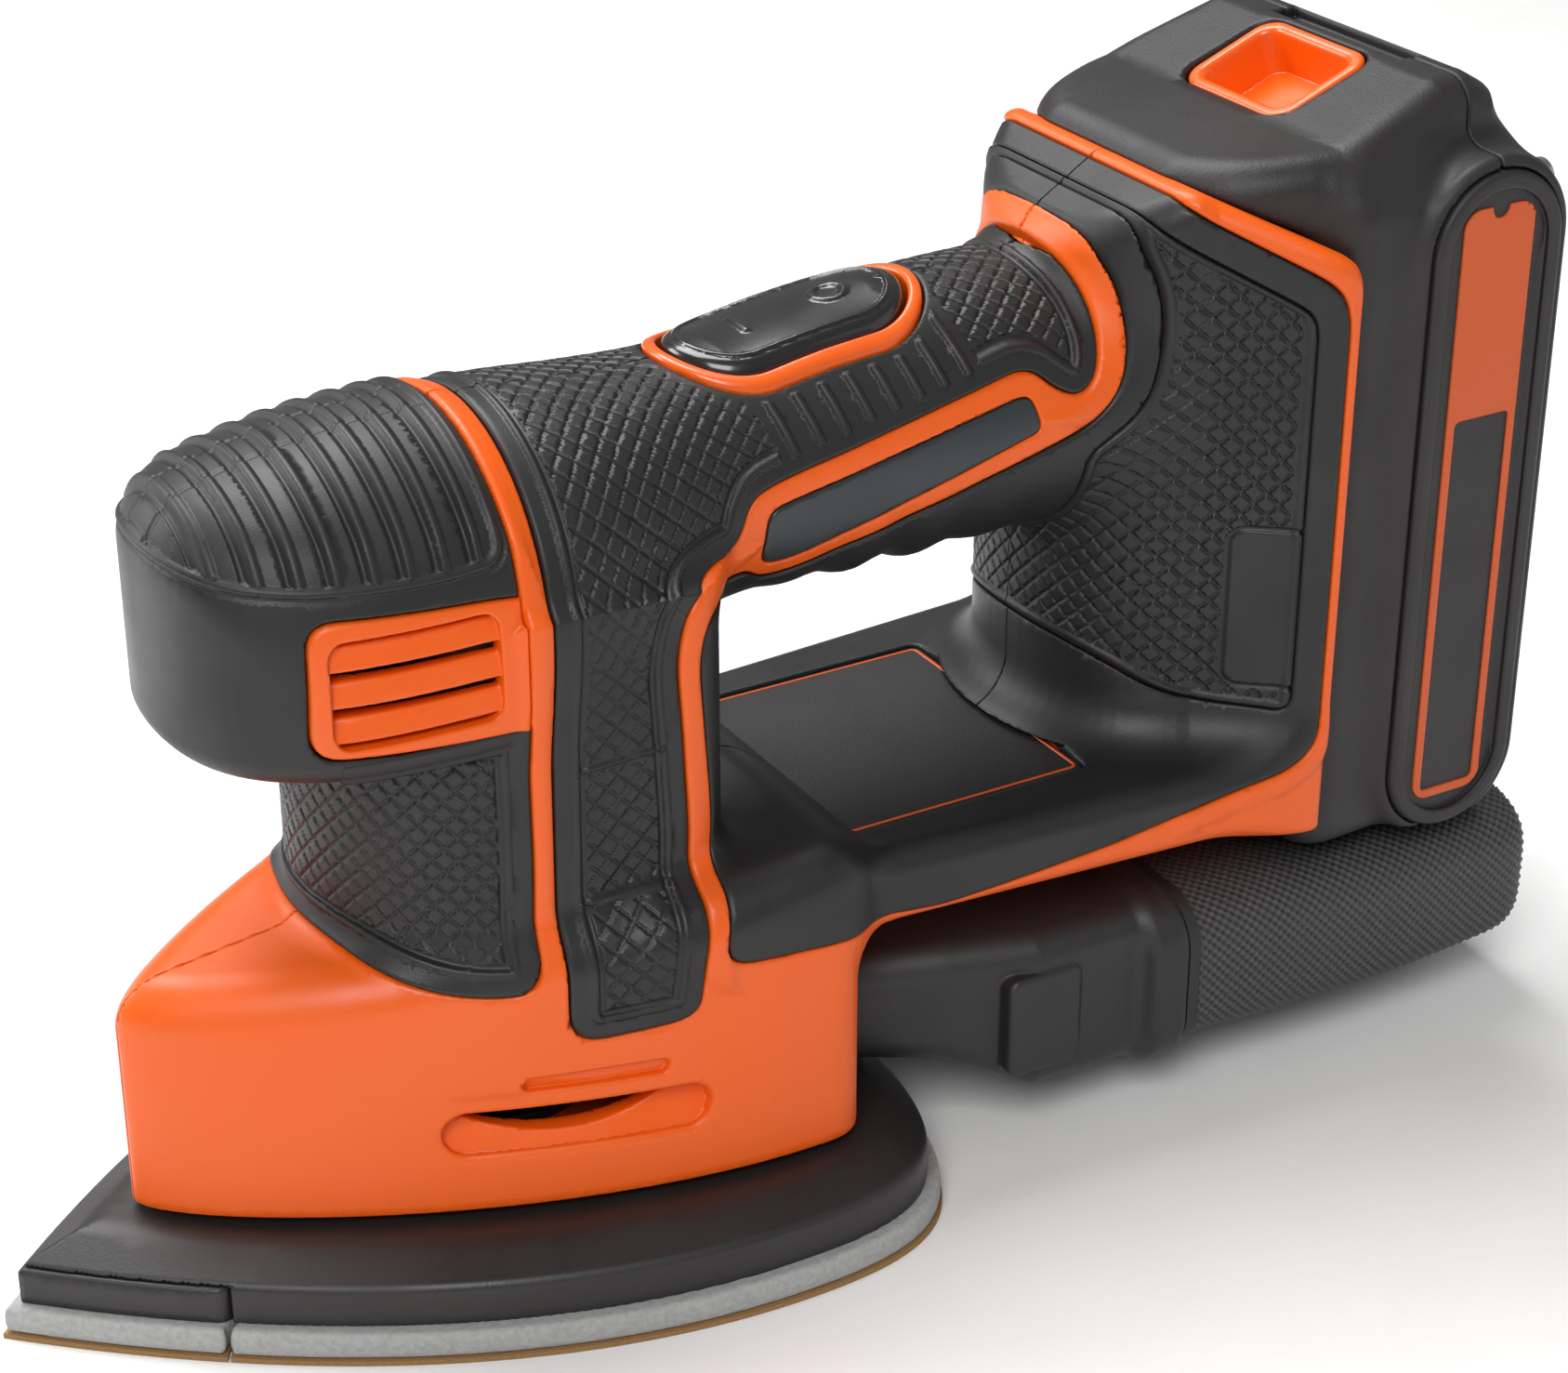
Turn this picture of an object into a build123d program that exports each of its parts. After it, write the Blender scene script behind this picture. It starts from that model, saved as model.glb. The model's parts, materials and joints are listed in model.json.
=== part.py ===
from build123d import *
import math
import os

# Cordless detail mouse sander, in millimetres. The origin lies on the sanding face, half-way
# along the sheet. -X is the pointed tip, +X the battery, +Z up. The outside is symmetric
# about the XZ plane, and "half" in a name means half a width, measured from that plane.

# ------------------------------------------------------------------ driving dimensions
PAD_LENGTH = 140.0  # standard mouse sheet
PAD_WIDTH = 100.0
PAD_SHOULDER = 105.5  # from the tip to the sheet's widest place
HEEL_FULLNESS = 0.795  # 0.552 would be an ellipse, 1 a square corner
SHEET_T = 0.8
FOAM_T = 4.2
RIM_T = 6.0
DECK_T = 3.8
PLATE_INSET = 2.4
DECK_INSET = 8.5
TIP_SIDE_X = -43.5  # the diamond tip's side corners
TIP_SIDE_Y = 19.6
TIP_BACK_X = -17.0
TIP_GAP = 0.4

WALL = 2.4
SKIN = 1.4  # depth of the soft overmould
SKIRT_GAP = 1.2
BASE_FRONT = -49.0
BASE_REAR = 52.0
BASE_HALF = 37.8
BASE_CORNER = 8.0
BASE_BROW = 46.0  # height where the base starts to round over
BASE_TOP = 53.5
NECK_R = 28.0
LOOP_FRONT = 35.0
NOSE_FRONT = -40.0
NOSE_REAR = 5.0
NOSE_HALF = 29.5
NOSE_BOTTOM = 88.0
NOSE_TOP = 130.5
HANDLE_BOTTOM = 91.5
HANDLE_HALF = 20.2
HANDLE_END = 103.0
BAR_BOTTOM = 46.0
BAR_TOP = 58.0
BAR_FRONT_HALF = 31.0
COLUMN_FRONT = 99.0
COLUMN_HALF = 38.0
DOCK_X = 133.0
RIM_TOP = 146.0
RIM_X = 112.0
RIM_REAR = 136.0

DRIVE_X = 8.0  # motor axis, also the neck's centre
ORBIT = 1.0  # eccentricity
SHAFT_R = 2.5
RUN_CLEAR = 0.03
MOTOR_R = 18.6
MOTOR_LENGTH = 48.0
MOTOR_Z = 60.0
FAN_R = 21.0
FAN_Z = 42.0
FAN_T = 10.0
PIN_R = 4.0
BEARING_R = 11.0
BEARING_T = 7.0
POST_R = 4.0
POST_TOP = 38.0
POST_SPOTS = [(-22.0, 11.0), (-22.0, -11.0), (38.0, 22.0), (38.0, -22.0)]

ROCKER_X = 59.0
ROCKER_Z = 124.0  # tilt axis
ROCKER_SLOPE = 5.5  # degrees, follows the handle's top
ROCKER_HALF_L = 18.6
ROCKER_HALF_W = 10.1
ROCKER_GAP = 1.0
PIVOT_R = 1.6
SURROUND_W = 2.0

PACK_GAP = 0.4
PACK_REAR = 172.0
PACK_HALF = 37.2
PACK_BOTTOM = 38.0
PACK_TOP = 157.0
PACK_SEAM = 157.5
PANEL_X = 158.0
PANEL_HALF = 12.0
PANEL_T = 1.4
CELL_R = 9.2
CELL_LENGTH = 65.0
CELL_COUNT = 5
CELL_PITCH = 19.4
BUTTON_FOOT = 134.0
BUTTON_X = 144.0
BUTTON_Z = 153.5
BUTTON_SLOPE = 22.0
BUTTON_LENGTH = 18.7
BUTTON_HALF = 12.5
BUTTON_DEPTH = 8.0
BLADE_T = 0.8
BLADE_PITCH = 9.0
RAIL_HALF = 20.0

OUTLET_HALF = 19.0
OUTLET_BOTTOM = 18.5
OUTLET_TOP = 32.5
FLANGE_X = 103.0
FLANGE_T = 7.0
BAG_END = 183.0
BAG_HALF = 38.0
BAG_BOTTOM = 7.0
BAG_TOP = 36.0

# (x, z, seat) of each housing screw: seat is how far out its head rests
SCREW_SPOTS = [
    (-36.0, 26.0, 5.0), (44.0, 43.0, 24.0), (30.5, 66.0, 16.0), (30.5, 88.0, 14.0),
    (90.0, 104.0, 9.0), (75.0, 52.0, 22.0), (112.0, 66.0, 12.0), (112.0, 128.0, 12.0),
]
SCREW_R = 1.4
SCREW_HEAD_R = 2.9
SCREW_HEAD_T = 2.2
BOSS_R = 3.8
SCREW_GRIP = 4.0  # how far a screw reaches into the left half

# ------------------------------------------------------------------ derived heights
FOAM_Z = SHEET_T
PLATE_Z = FOAM_Z + FOAM_T
DECK_Z = PLATE_Z + RIM_T
PLATE_TOP = DECK_Z + DECK_T
SKIRT_Z = PLATE_TOP + SKIRT_GAP
PIN_X = DRIVE_X + ORBIT
BEARING_Z = DECK_Z + 1.5
HUB_Z = BEARING_Z + BEARING_T + 2.5
FLANGE_END = FLANGE_X + FLANGE_T


def keep(part, name):
    """Labels a finished piece, writes its STEP file and returns it."""
    part.label = name
    export_step(part, f"parts/{name}.step")
    return part


# ------------------------------------------------------------------ shared outlines
def pad_plan(inset=0.0):
    """The sheet's outline: parabolic flanks from a pointed tip and a full round heel."""
    tip = -PAD_LENGTH / 2 + 1.45 * inset
    heel = PAD_LENGTH / 2 - inset
    half = PAD_WIDTH / 2 - inset
    wide = PAD_SHOULDER - PAD_LENGTH / 2
    fuller = wide + HEEL_FULLNESS * (heel - wide)
    with BuildSketch() as plan:
        with BuildLine():
            Bezier((tip, 0), ((tip + wide) / 2, half), (wide, half))
            Bezier((wide, half), (fuller, half), (heel, HEEL_FULLNESS * half), (heel, 0))
            mirror(about=Plane.XZ)
        make_face()
    return plan.sketch


def tip_plan(grow=0.0):
    """The detachable diamond tip's outline, open past the pad's edge, grown for clearance."""
    side = TIP_SIDE_X + grow
    with BuildSketch() as plan:
        with BuildLine():
            Polyline((TIP_BACK_X + 1.25 * grow, 0), (side, TIP_SIDE_Y + grow / 2),
                     (side - 4, TIP_SIDE_Y + 7), (-PAD_LENGTH, TIP_SIDE_Y + 7),
                     (-PAD_LENGTH, 0))
            mirror(about=Plane.XZ)
        make_face()
    return plan.sketch


def base_plan(inset=0.0):
    """The skirt's outline: a blunt prow, long flanks and a square heel with round corners."""
    front = BASE_FRONT + 1.4 * inset
    rear = BASE_REAR - inset
    half = BASE_HALF - inset
    corner = max(BASE_CORNER - inset, 0.8)
    with BuildSketch() as plan:
        with BuildLine():
            Bezier((front, 0), (front, 8), (0, half), (rear - corner, half))
            TangentArc((rear - corner, half), (rear, half - corner), tangent=(1, 0))
            Line((rear, half - corner), (rear, 0))
            mirror(about=Plane.XZ)
        make_face()
    return plan.sketch


def nose_plan(inset=0.0, cut_back=0.0):
    """The palm cap's outline, flat at its back where it meets the neck band."""
    front = NOSE_FRONT + inset + cut_back
    half = NOSE_HALF - inset
    fuller = 0.709
    with BuildSketch() as plan:
        with BuildLine():
            Bezier((NOSE_REAR, half), (NOSE_REAR + fuller * (front - NOSE_REAR), half),
                   (front, fuller * half), (front, 0))
            Line((NOSE_REAR, half), (NOSE_REAR, 0))
            mirror(about=Plane.XZ)
        make_face()
    return plan.sketch


def column_plan(inset=0.0):
    """The rear housing's outline: a round front that flares to the battery's width."""
    front = COLUMN_FRONT + inset
    half = COLUMN_HALF - inset
    with BuildSketch() as plan:
        with BuildLine():
            ThreePointArc((front, 0), (front + 3.6, 12.5 - inset / 2), (front + 13, 22.5 - inset))
            Polyline((front + 13, 22.5 - inset), (DOCK_X - 4, half), (DOCK_X - inset, half),
                     (DOCK_X - inset, 0))
            mirror(about=Plane.XZ)
        make_face()
    return plan.sketch


def side_prism(points, reach=60.0):
    """A prism across the whole width over an outline given as (x, z) points."""
    with BuildPart() as prism:
        with BuildSketch(Plane.XZ):
            with BuildLine():
                Polyline(*points, close=True)
            make_face()
        extrude(amount=reach, both=True)
    return prism.part


def box_between(low, high):
    """A box from its lowest to its highest corner."""
    with BuildPart() as block:
        middle = [(a + b) / 2 for a, b in zip(low, high)]
        with Locations(tuple(middle)):
            Box(*[b - a for a, b in zip(low, high)])
    return block.part


def stack(sections):
    """A ruled body through (height, outline) sections."""
    with BuildPart() as body:
        for height, outline in sections:
            with BuildSketch(Plane.XY.offset(height)):
                add(outline)
        loft(ruled=True)
    return body.part


def turned(rings, x=DRIVE_X):
    """A solid of revolution about a vertical axis, from (bottom, top, outer, inner) rings."""
    with BuildPart() as body:
        for bottom, top, outer, inner in rings:
            with BuildSketch(Plane.XY.offset(bottom)):
                with Locations((x, 0)):
                    Circle(outer)
                    if inner:
                        Circle(inner, mode=Mode.SUBTRACT)
            extrude(amount=top - bottom)
    return body.part


# ------------------------------------------------------------------ the tool's form
def handle_form(inset):
    """Shoulder and handle: oval sections that shrink from the neck band to the handle."""
    stations = [
        (NOSE_REAR - 1 - inset, 101.5, 28.0, NECK_R + 0.4),
        (22.0, 105.5, 23.5, 25.5),
        (42.0, HANDLE_BOTTOM + 18.4, 18.4, HANDLE_HALF),
        (62.0, HANDLE_BOTTOM + 19.8, 19.8, HANDLE_HALF),
        (82.0, HANDLE_BOTTOM + 20.6, 20.6, HANDLE_HALF),
        (HANDLE_END + 6, HANDLE_BOTTOM + 20.8, 20.8, HANDLE_HALF),
    ]
    with BuildPart() as form:
        for x, middle, half_high, half_wide in stations:
            with BuildSketch(Plane(origin=(x, 0, middle), x_dir=(0, 1, 0), z_dir=(1, 0, 0))):
                Ellipse(half_wide - inset, half_high - inset)
        loft()
    return form.part


def column_form(inset):
    """The rear housing under the battery, cut by the slope that the battery sits on."""
    slope = [
        (COLUMN_FRONT - 5, BAR_BOTTOM + inset), (COLUMN_FRONT - 5, 130 - inset),
        (COLUMN_FRONT + 3, 140 - inset), (RIM_X, RIM_TOP - inset),
        (DOCK_X, RIM_REAR - inset), (DOCK_X, BAR_BOTTOM + inset),
    ]
    with BuildPart() as form:
        with BuildSketch(Plane.XY.offset(BAR_BOTTOM)):
            add(column_plan(inset))
        extrude(amount=RIM_TOP - BAR_BOTTOM)
        add(side_prism(slope), mode=Mode.INTERSECT)
    return form.part


def bar_form(inset):
    """The lower bar of the handle loop, widening towards the battery."""
    with BuildPart() as form:
        with BuildSketch(Plane.XY.offset(BAR_BOTTOM + inset)):
            with BuildLine():
                Polyline((LOOP_FRONT - 6, BAR_FRONT_HALF - inset), (DOCK_X - inset, COLUMN_HALF - inset),
                         (DOCK_X - inset, 0))
                Line((LOOP_FRONT - 6, BAR_FRONT_HALF - inset), (LOOP_FRONT - 6, 0))
                mirror(about=Plane.XZ)
            make_face()
        extrude(amount=BAR_TOP - BAR_BOTTOM - 2 * inset)
    return form.part


def neck_form(inset):
    """The neck: round in front, flat-sided back to the hand opening."""
    with BuildPart() as form:
        with BuildSketch(Plane.XY.offset(BASE_BROW - 6)):
            with Locations((DRIVE_X, 0)):
                Circle(NECK_R - inset)
            with Locations(((DRIVE_X + LOOP_FRONT - inset) / 2, 0)):
                Rectangle(LOOP_FRONT - inset - DRIVE_X, 2 * (NECK_R - inset))
            corners = [v for v in vertices() if v.X > LOOP_FRONT - inset - 0.1]
            fillet(corners, radius=max(7 - inset, 1))
        extrude(amount=102 - BASE_BROW + 6)
    return form.part


def tool_form(inset, foot):
    """The whole housing's form, inset from the outside, its skirt starting at height foot."""
    with BuildPart() as form:
        add(stack([(foot, base_plan(inset)), (BASE_BROW, base_plan(inset)),
                   (BASE_TOP - 3 - inset, base_plan(inset + 3)),
                   (BASE_TOP - inset, base_plan(inset + 8))]))
        add(neck_form(inset))
        add(bar_form(inset))
        add(column_form(inset))
        add(handle_form(inset))
        add(stack([(NOSE_BOTTOM + inset, nose_plan(inset)), (108.0, nose_plan(inset)),
                   (119.0 - inset, nose_plan(inset + 3.0, 1.5)),
                   (126.0 - inset, nose_plan(inset + 9.0, 4.0)),
                   (NOSE_TOP - inset, nose_plan(inset + 18.0, 12.0))]))
    return form.part


os.makedirs("parts", exist_ok=True)

outer = tool_form(0.0, SKIRT_Z)
inner = tool_form(WALL, SKIRT_Z - 5)
skin_floor = tool_form(SKIN, SKIRT_Z - 5)

# ------------------------------------------------------------------ zones of the outside
BAND_FRONT = 3.2
BAND_REAR = 7.0
nose_zone = side_prism([(-60, NOSE_BOTTOM - 0.01), (-60, 150), (BAND_FRONT, 150),
                        (BAND_FRONT, NOSE_BOTTOM - 0.01)])
neck_zone = side_prism([(-30, 56), (-30, 87.6), (BAND_FRONT, 87.6), (BAND_FRONT, 54),
                        (-2, 51.5), (-10, 53)])
GRIP_OUTLINE = [
    (BAND_REAR, 145), (BAND_REAR, 43), (10, 40), (26, 38.5), (29, 41), (29.5, 88), (34, 99),
    (41, 104), (44, 108.5), (92, 119.5), (98, 120), (98, 145),
]
LOOP_OUTLINE = [
    (34, 52.5), (37, 50), (60, 50.5), (DOCK_X - 3, 57), (DOCK_X - 2.5, 134.5), (112.5, 143.3),
    (108, 143), (101.5, 139.5), (101.5, 117), (96, 110.5), (46, 98.5), (39, 94), (33.5, 85),
]
REAR_GRIP_OUTLINE = [
    (106, 72), (127, 64), (128, 130), (113, 137), (105, 131),
]
BADGE_OUTLINE = [(46, 101), (93, 112), (93, 117), (46, 106.2)]
grip_zone = side_prism(GRIP_OUTLINE)
loop_zone = side_prism(LOOP_OUTLINE)
rear_grip_zone = side_prism(REAR_GRIP_OUTLINE)
badge_zone = side_prism(BADGE_OUTLINE)
VENT_LOW = (-27.0, 20.0, 93.0)
VENT_HIGH = (BAND_FRONT, 40.0, 112.0)
BADGE_T = 1.0
INLAY_LOW = (54.4, -24.0, BAR_TOP - 1.2)
INLAY_HIGH = (97.5, 24.0, BAR_TOP)


def rocker_plan(grow):
    """The rocker's stadium outline, grown for clearance and for its surround."""
    with BuildSketch() as plan:
        RectangleRounded(2 * (ROCKER_HALF_L + grow), 2 * (ROCKER_HALF_W + grow),
                         ROCKER_HALF_W + grow - 0.01)
    return plan.sketch


rocker_plane = Plane(origin=(ROCKER_X, 0, ROCKER_Z),
                     x_dir=(math.cos(math.radians(ROCKER_SLOPE)), 0,
                            math.sin(math.radians(ROCKER_SLOPE))),
                     z_dir=(-math.sin(math.radians(ROCKER_SLOPE)), 0,
                            math.cos(math.radians(ROCKER_SLOPE))))


def rocker_slab(grow, bottom, top, hollow=None):
    """A slab over the rocker's outline between two heights above the tilt axis."""
    with BuildPart() as slab:
        with BuildSketch(rocker_plane.offset(bottom)):
            add(rocker_plan(grow))
            if hollow is not None:
                add(rocker_plan(hollow), mode=Mode.SUBTRACT)
        extrude(amount=top - bottom)
    return slab.part


# ------------------------------------------------------------------ housing
def housing_body():
    """Both clamshell halves in one: walls, screw bosses, post sockets, rails and openings."""
    with BuildPart() as body:
        add(outer)
        add(inner, mode=Mode.SUBTRACT)
        # screw bosses across the cavity and sockets for the rubber posts
        for x, z, _ in SCREW_SPOTS:
            with BuildSketch(Plane.XZ):
                with Locations((x, z)):
                    Circle(BOSS_R)
            extrude(amount=COLUMN_HALF, both=True)
        with BuildSketch(Plane.XY.offset(POST_TOP)):
            with Locations(*POST_SPOTS):
                Circle(POST_R + 2)
        extrude(amount=BAR_TOP - POST_TOP)
        add(outer, mode=Mode.INTERSECT)
        # T rails that the battery slides on
        for side in (-1, 1):
            y = side * RAIL_HALF
            add(box_between((DOCK_X - 1, y - 2, 66), (DOCK_X + 4, y + 2, 124)))
            add(box_between((DOCK_X + 2, y - 4, 66), (DOCK_X + 4, y + 4, 124)))
        # room for the overmoulds and the separate pieces
        for zone in (grip_zone, loop_zone, neck_zone):
            add(zone - skin_floor, mode=Mode.SUBTRACT)
        add(badge_zone - tool_form(BADGE_T, SKIRT_Z - 5), mode=Mode.SUBTRACT)
        add(nose_zone, mode=Mode.SUBTRACT)
        add(rocker_slab(ROCKER_GAP + SURROUND_W, -2, 12), mode=Mode.SUBTRACT)
        add(box_between(INLAY_LOW, INLAY_HIGH), mode=Mode.SUBTRACT)
        # dust outlet in the heel, terminal window in the dock, cooling slots in the skirt
        add(box_between((BASE_REAR - 6, -OUTLET_HALF - 0.3, OUTLET_BOTTOM - 0.3),
                        (BASE_REAR + 1, OUTLET_HALF + 0.3, OUTLET_TOP + 0.3)), mode=Mode.SUBTRACT)
        add(box_between((DOCK_X - 4, -15, 72), (DOCK_X + 1, 15, 98)), mode=Mode.SUBTRACT)
        for side in (-1, 1):
            add(box_between((-8, side * 33 - 12, 30), (20, side * 33 + 12, 33.6)), mode=Mode.SUBTRACT)
        # the latch's catch in the slope under the battery
        add(box_between((119.4, -6.4, 134), (128.4, 6.4, 146)), mode=Mode.SUBTRACT)
    return body.part


def housing_half(body, side):
    """One half of the clamshell: side -1 is the left one, 1 the right one, with the heads."""
    with BuildPart() as half:
        add(body)
        split(bisect_by=Plane.XZ, keep=Keep.TOP if side < 0 else Keep.BOTTOM)
        for x, z, seat in SCREW_SPOTS:
            if side > 0:
                with BuildSketch(Plane.XZ.offset(-seat)):
                    with Locations((x, z)):
                        Circle(SCREW_HEAD_R + 0.2)
                extrude(amount=-40, mode=Mode.SUBTRACT)
                with BuildSketch(Plane.XZ):
                    with Locations((x, z)):
                        Circle(SCREW_R + 0.1)
                extrude(amount=-seat, mode=Mode.SUBTRACT)
            else:
                with BuildSketch(Plane.XZ):
                    with Locations((x, z)):
                        Circle(SCREW_R)
                extrude(amount=SCREW_GRIP, mode=Mode.SUBTRACT)
    return half.part


whole_housing = housing_body()
keep(housing_half(whole_housing, -1), "housing_left")
keep(housing_half(whole_housing, 1), "housing_right")

with BuildPart() as housing_screws:
    for x, z, seat in SCREW_SPOTS:
        with BuildSketch(Plane.XZ.offset(SCREW_GRIP)):
            with Locations((x, z)):
                Circle(SCREW_R)
        extrude(amount=-(seat + SCREW_GRIP))
        with BuildSketch(Plane.XZ.offset(-seat)):
            with Locations((x, z)):
                Circle(SCREW_HEAD_R)
                RegularPolygon(1.2, 6, mode=Mode.SUBTRACT)
        extrude(amount=-SCREW_HEAD_T)
keep(housing_screws.part, "housing_screws")


# ------------------------------------------------------------------ overmoulds and trim
def half_of(part, side):
    """The part of a symmetric piece on one side."""
    with BuildPart() as half:
        add(part)
        split(bisect_by=Plane.XZ, keep=Keep.TOP if side < 0 else Keep.BOTTOM)
    return half.part


skin = outer - skin_floor
with BuildPart() as rocker_room:
    add(rocker_slab(ROCKER_GAP + SURROUND_W, -2, 12))
grips = (skin & grip_zone) - rocker_room.part
loop_cover = (skin & loop_zone) - rear_grip_zone - box_between(INLAY_LOW, INLAY_HIGH)
for side, word in ((-1, "left"), (1, "right")):
    keep(half_of(grips, side), f"handle_grip_{word}")
    keep(half_of(loop_cover, side), f"loop_cover_{word}")
    keep(half_of(skin & rear_grip_zone, side), f"rear_grip_{word}")
    badge = (outer - tool_form(BADGE_T, SKIRT_Z - 5)) & badge_zone
    keep(half_of(badge, side), f"badge_plate_{word}")
keep(skin & neck_zone, "neck_grip")
keep(box_between(INLAY_LOW, INLAY_HIGH), "bar_inlay")

nose_shell = (outer - inner) & nose_zone
vent_windows = {
    side: box_between((VENT_LOW[0], min(side * VENT_LOW[1], side * VENT_HIGH[1]), VENT_LOW[2]),
                      (VENT_HIGH[0], max(side * VENT_LOW[1], side * VENT_HIGH[1]), VENT_HIGH[2]))
    for side in (-1, 1)
}
keep(nose_shell - vent_windows[-1] - vent_windows[1], "nose_cap")


def nose_vent(side):
    """A vent insert with two open slots between its louvres."""
    with BuildPart() as vent:
        add(nose_shell & vent_windows[side])
        for height in (97.6, 103.8):
            add(box_between((VENT_LOW[0] + 3, side * 32 - 12, height),
                            (VENT_HIGH[0] - 3, side * 32 + 12, height + 2.4)), mode=Mode.SUBTRACT)
    return vent.part


keep(nose_vent(-1), "nose_vent_left")
keep(nose_vent(1), "nose_vent_right")
keep(rocker_slab(ROCKER_GAP + SURROUND_W - 0.02, 0, 8.4, hollow=ROCKER_GAP), "switch_surround")


# ------------------------------------------------------------------ switch
def switch_rocker():
    """The rocker cap, with a tongue under it that ends in a pivot pin."""
    with BuildPart() as cap:
        add(rocker_slab(0, 3.0, 8.6))
        fillet(cap.edges().group_by(Axis.Z)[-1], radius=1.2)
        with BuildSketch(rocker_plane):
            Rectangle(2 * PIVOT_R, 12)
        extrude(amount=3.5)
        with BuildSketch(Plane.XZ):
            with Locations((ROCKER_X, ROCKER_Z)):
                Circle(PIVOT_R)
        extrude(amount=6, both=True)
    return cap.part


keep(switch_rocker(), "switch_rocker")
with BuildPart() as switch_module:
    with BuildSketch(rocker_plane.offset(-2.0)):
        Rectangle(34, 13)
    extrude(amount=-16)
    with BuildSketch(rocker_plane.offset(-18.0)):
        with GridLocations(12, 6, 3, 2):
            Rectangle(0.8, 4.8)
    extrude(amount=-5)
keep(switch_module.part, "switch_module")

# ------------------------------------------------------------------ motor and drive
CAN_WALL = 1.6
can_top = MOTOR_Z + MOTOR_LENGTH
with BuildPart() as motor_can:
    add(turned([(MOTOR_Z, MOTOR_Z + CAN_WALL, MOTOR_R, 8.0),
                (MOTOR_Z + CAN_WALL, can_top, MOTOR_R, MOTOR_R - CAN_WALL)]))
keep(motor_can.part, "motor_can")

with BuildPart() as motor_magnets:
    magnet_r = MOTOR_R - CAN_WALL
    add(turned([(MOTOR_Z + 6, MOTOR_Z + 38, magnet_r, magnet_r - 2.6)]))
    add(box_between((DRIVE_X - 5, -30, MOTOR_Z), (DRIVE_X + 5, 30, can_top)), mode=Mode.SUBTRACT)
keep(motor_magnets.part, "motor_magnets")

with BuildPart() as armature:
    add(turned([(MOTOR_Z + 8, MOTOR_Z + 36, MOTOR_R - CAN_WALL - 3.2, SHAFT_R),
                (MOTOR_Z + 36, MOTOR_Z + 40, 6.0, SHAFT_R),
                (MOTOR_Z + 40, MOTOR_Z + 47, 7.0, SHAFT_R)]))
    with BuildSketch(Plane.XY.offset(MOTOR_Z + 8)):
        with Locations((DRIVE_X, 0)):
            with PolarLocations(MOTOR_R - CAN_WALL - 5, 5):
                Rectangle(5, 1.6)
    extrude(amount=28, mode=Mode.SUBTRACT)
keep(armature.part, "armature")

with BuildPart() as motor_shaft:
    add(turned([(HUB_Z + 1, can_top + 7, SHAFT_R, 0)]))
keep(motor_shaft.part, "motor_shaft")


def ball_bearing(x, bottom, thickness, outer_r, bore_r):
    """A shielded ball bearing drawn as one ring with shallow shield grooves."""
    with BuildPart() as ring:
        add(turned([(bottom, bottom + thickness, outer_r, bore_r)], x=x))
        for face in (bottom, bottom + thickness - 0.4):
            add(turned([(face, face + 0.4, outer_r - 1.6, bore_r + 1.4)], x=x), mode=Mode.SUBTRACT)
    return ring.part


keep(ball_bearing(DRIVE_X, MOTOR_Z, 5.0, 8.0, SHAFT_R + RUN_CLEAR), "lower_bearing")
keep(ball_bearing(DRIVE_X, can_top + 1, 5.0, 8.0, SHAFT_R + RUN_CLEAR), "upper_bearing")
keep(ball_bearing(PIN_X, BEARING_Z, BEARING_T, BEARING_R, PIN_R + RUN_CLEAR), "eccentric_bearing")

with BuildPart() as motor_end_cap:
    add(turned([(can_top, can_top + 1, MOTOR_R, 8.4), (can_top + 1, can_top + 6, MOTOR_R - 3, 8.0),
                (can_top + 6, can_top + 8, 11.0, SHAFT_R + 1)]))
keep(motor_end_cap.part, "motor_end_cap")

with BuildPart() as brush_holders:
    for side in (-1, 1):
        reach = sorted((side * 7.05, side * (MOTOR_R - CAN_WALL - 0.4)))
        add(box_between((DRIVE_X - 2.5, reach[0], MOTOR_Z + 41), (DRIVE_X + 2.5, reach[1], can_top)))
keep(brush_holders.part, "brush_holders")

MOUNT_T = 4.0
with BuildPart() as motor_mount:
    add(turned([(MOTOR_Z - MOUNT_T, MOTOR_Z, NECK_R - WALL - 0.2, 9.0),
                (MOTOR_Z, MOTOR_Z + 8, MOTOR_R + 2, MOTOR_R)]))
    with BuildSketch(Plane.XY.offset(MOTOR_Z - MOUNT_T)):
        with Locations((DRIVE_X, 0)):
            with PolarLocations(15, 6, start_angle=30):
                Circle(3)
    extrude(amount=MOUNT_T, mode=Mode.SUBTRACT)
    add(box_between((DRIVE_X + 18.65, -40, MOTOR_Z - MOUNT_T - 1), (LOOP_FRONT, 40, MOTOR_Z + 9)),
        mode=Mode.SUBTRACT)
keep(motor_mount.part, "motor_mount")

with BuildPart() as fan:
    add(turned([(FAN_Z, FAN_Z + 1.5, FAN_R, SHAFT_R), (FAN_Z, FAN_Z + FAN_T, 6.0, SHAFT_R)]))
    with BuildSketch(Plane.XY.offset(FAN_Z + 1.5)):
        with Locations((DRIVE_X, 0)):
            with PolarLocations(FAN_R - 6, 12, start_angle=8):
                Rectangle(11, 1.4, rotation=25)
    extrude(amount=FAN_T - 1.5)
keep(fan.part, "fan")

with BuildPart() as eccentric:
    add(turned([(HUB_Z, FAN_Z - 2, 7.5, SHAFT_R)]))
    add(turned([(HUB_Z + 3, HUB_Z + 9, 17.0, 7.5)]))
    add(box_between((DRIVE_X + 2, -20, HUB_Z + 3), (DRIVE_X + 20, 20, HUB_Z + 9)), mode=Mode.SUBTRACT)
    add(turned([(HUB_Z, FAN_Z - 2, 7.5, SHAFT_R)]))
    add(turned([(HUB_Z, HUB_Z + 1, 7.5, 0)]))
    add(turned([(BEARING_Z, HUB_Z, PIN_R, 0)], x=PIN_X))
keep(eccentric.part, "eccentric")

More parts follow.
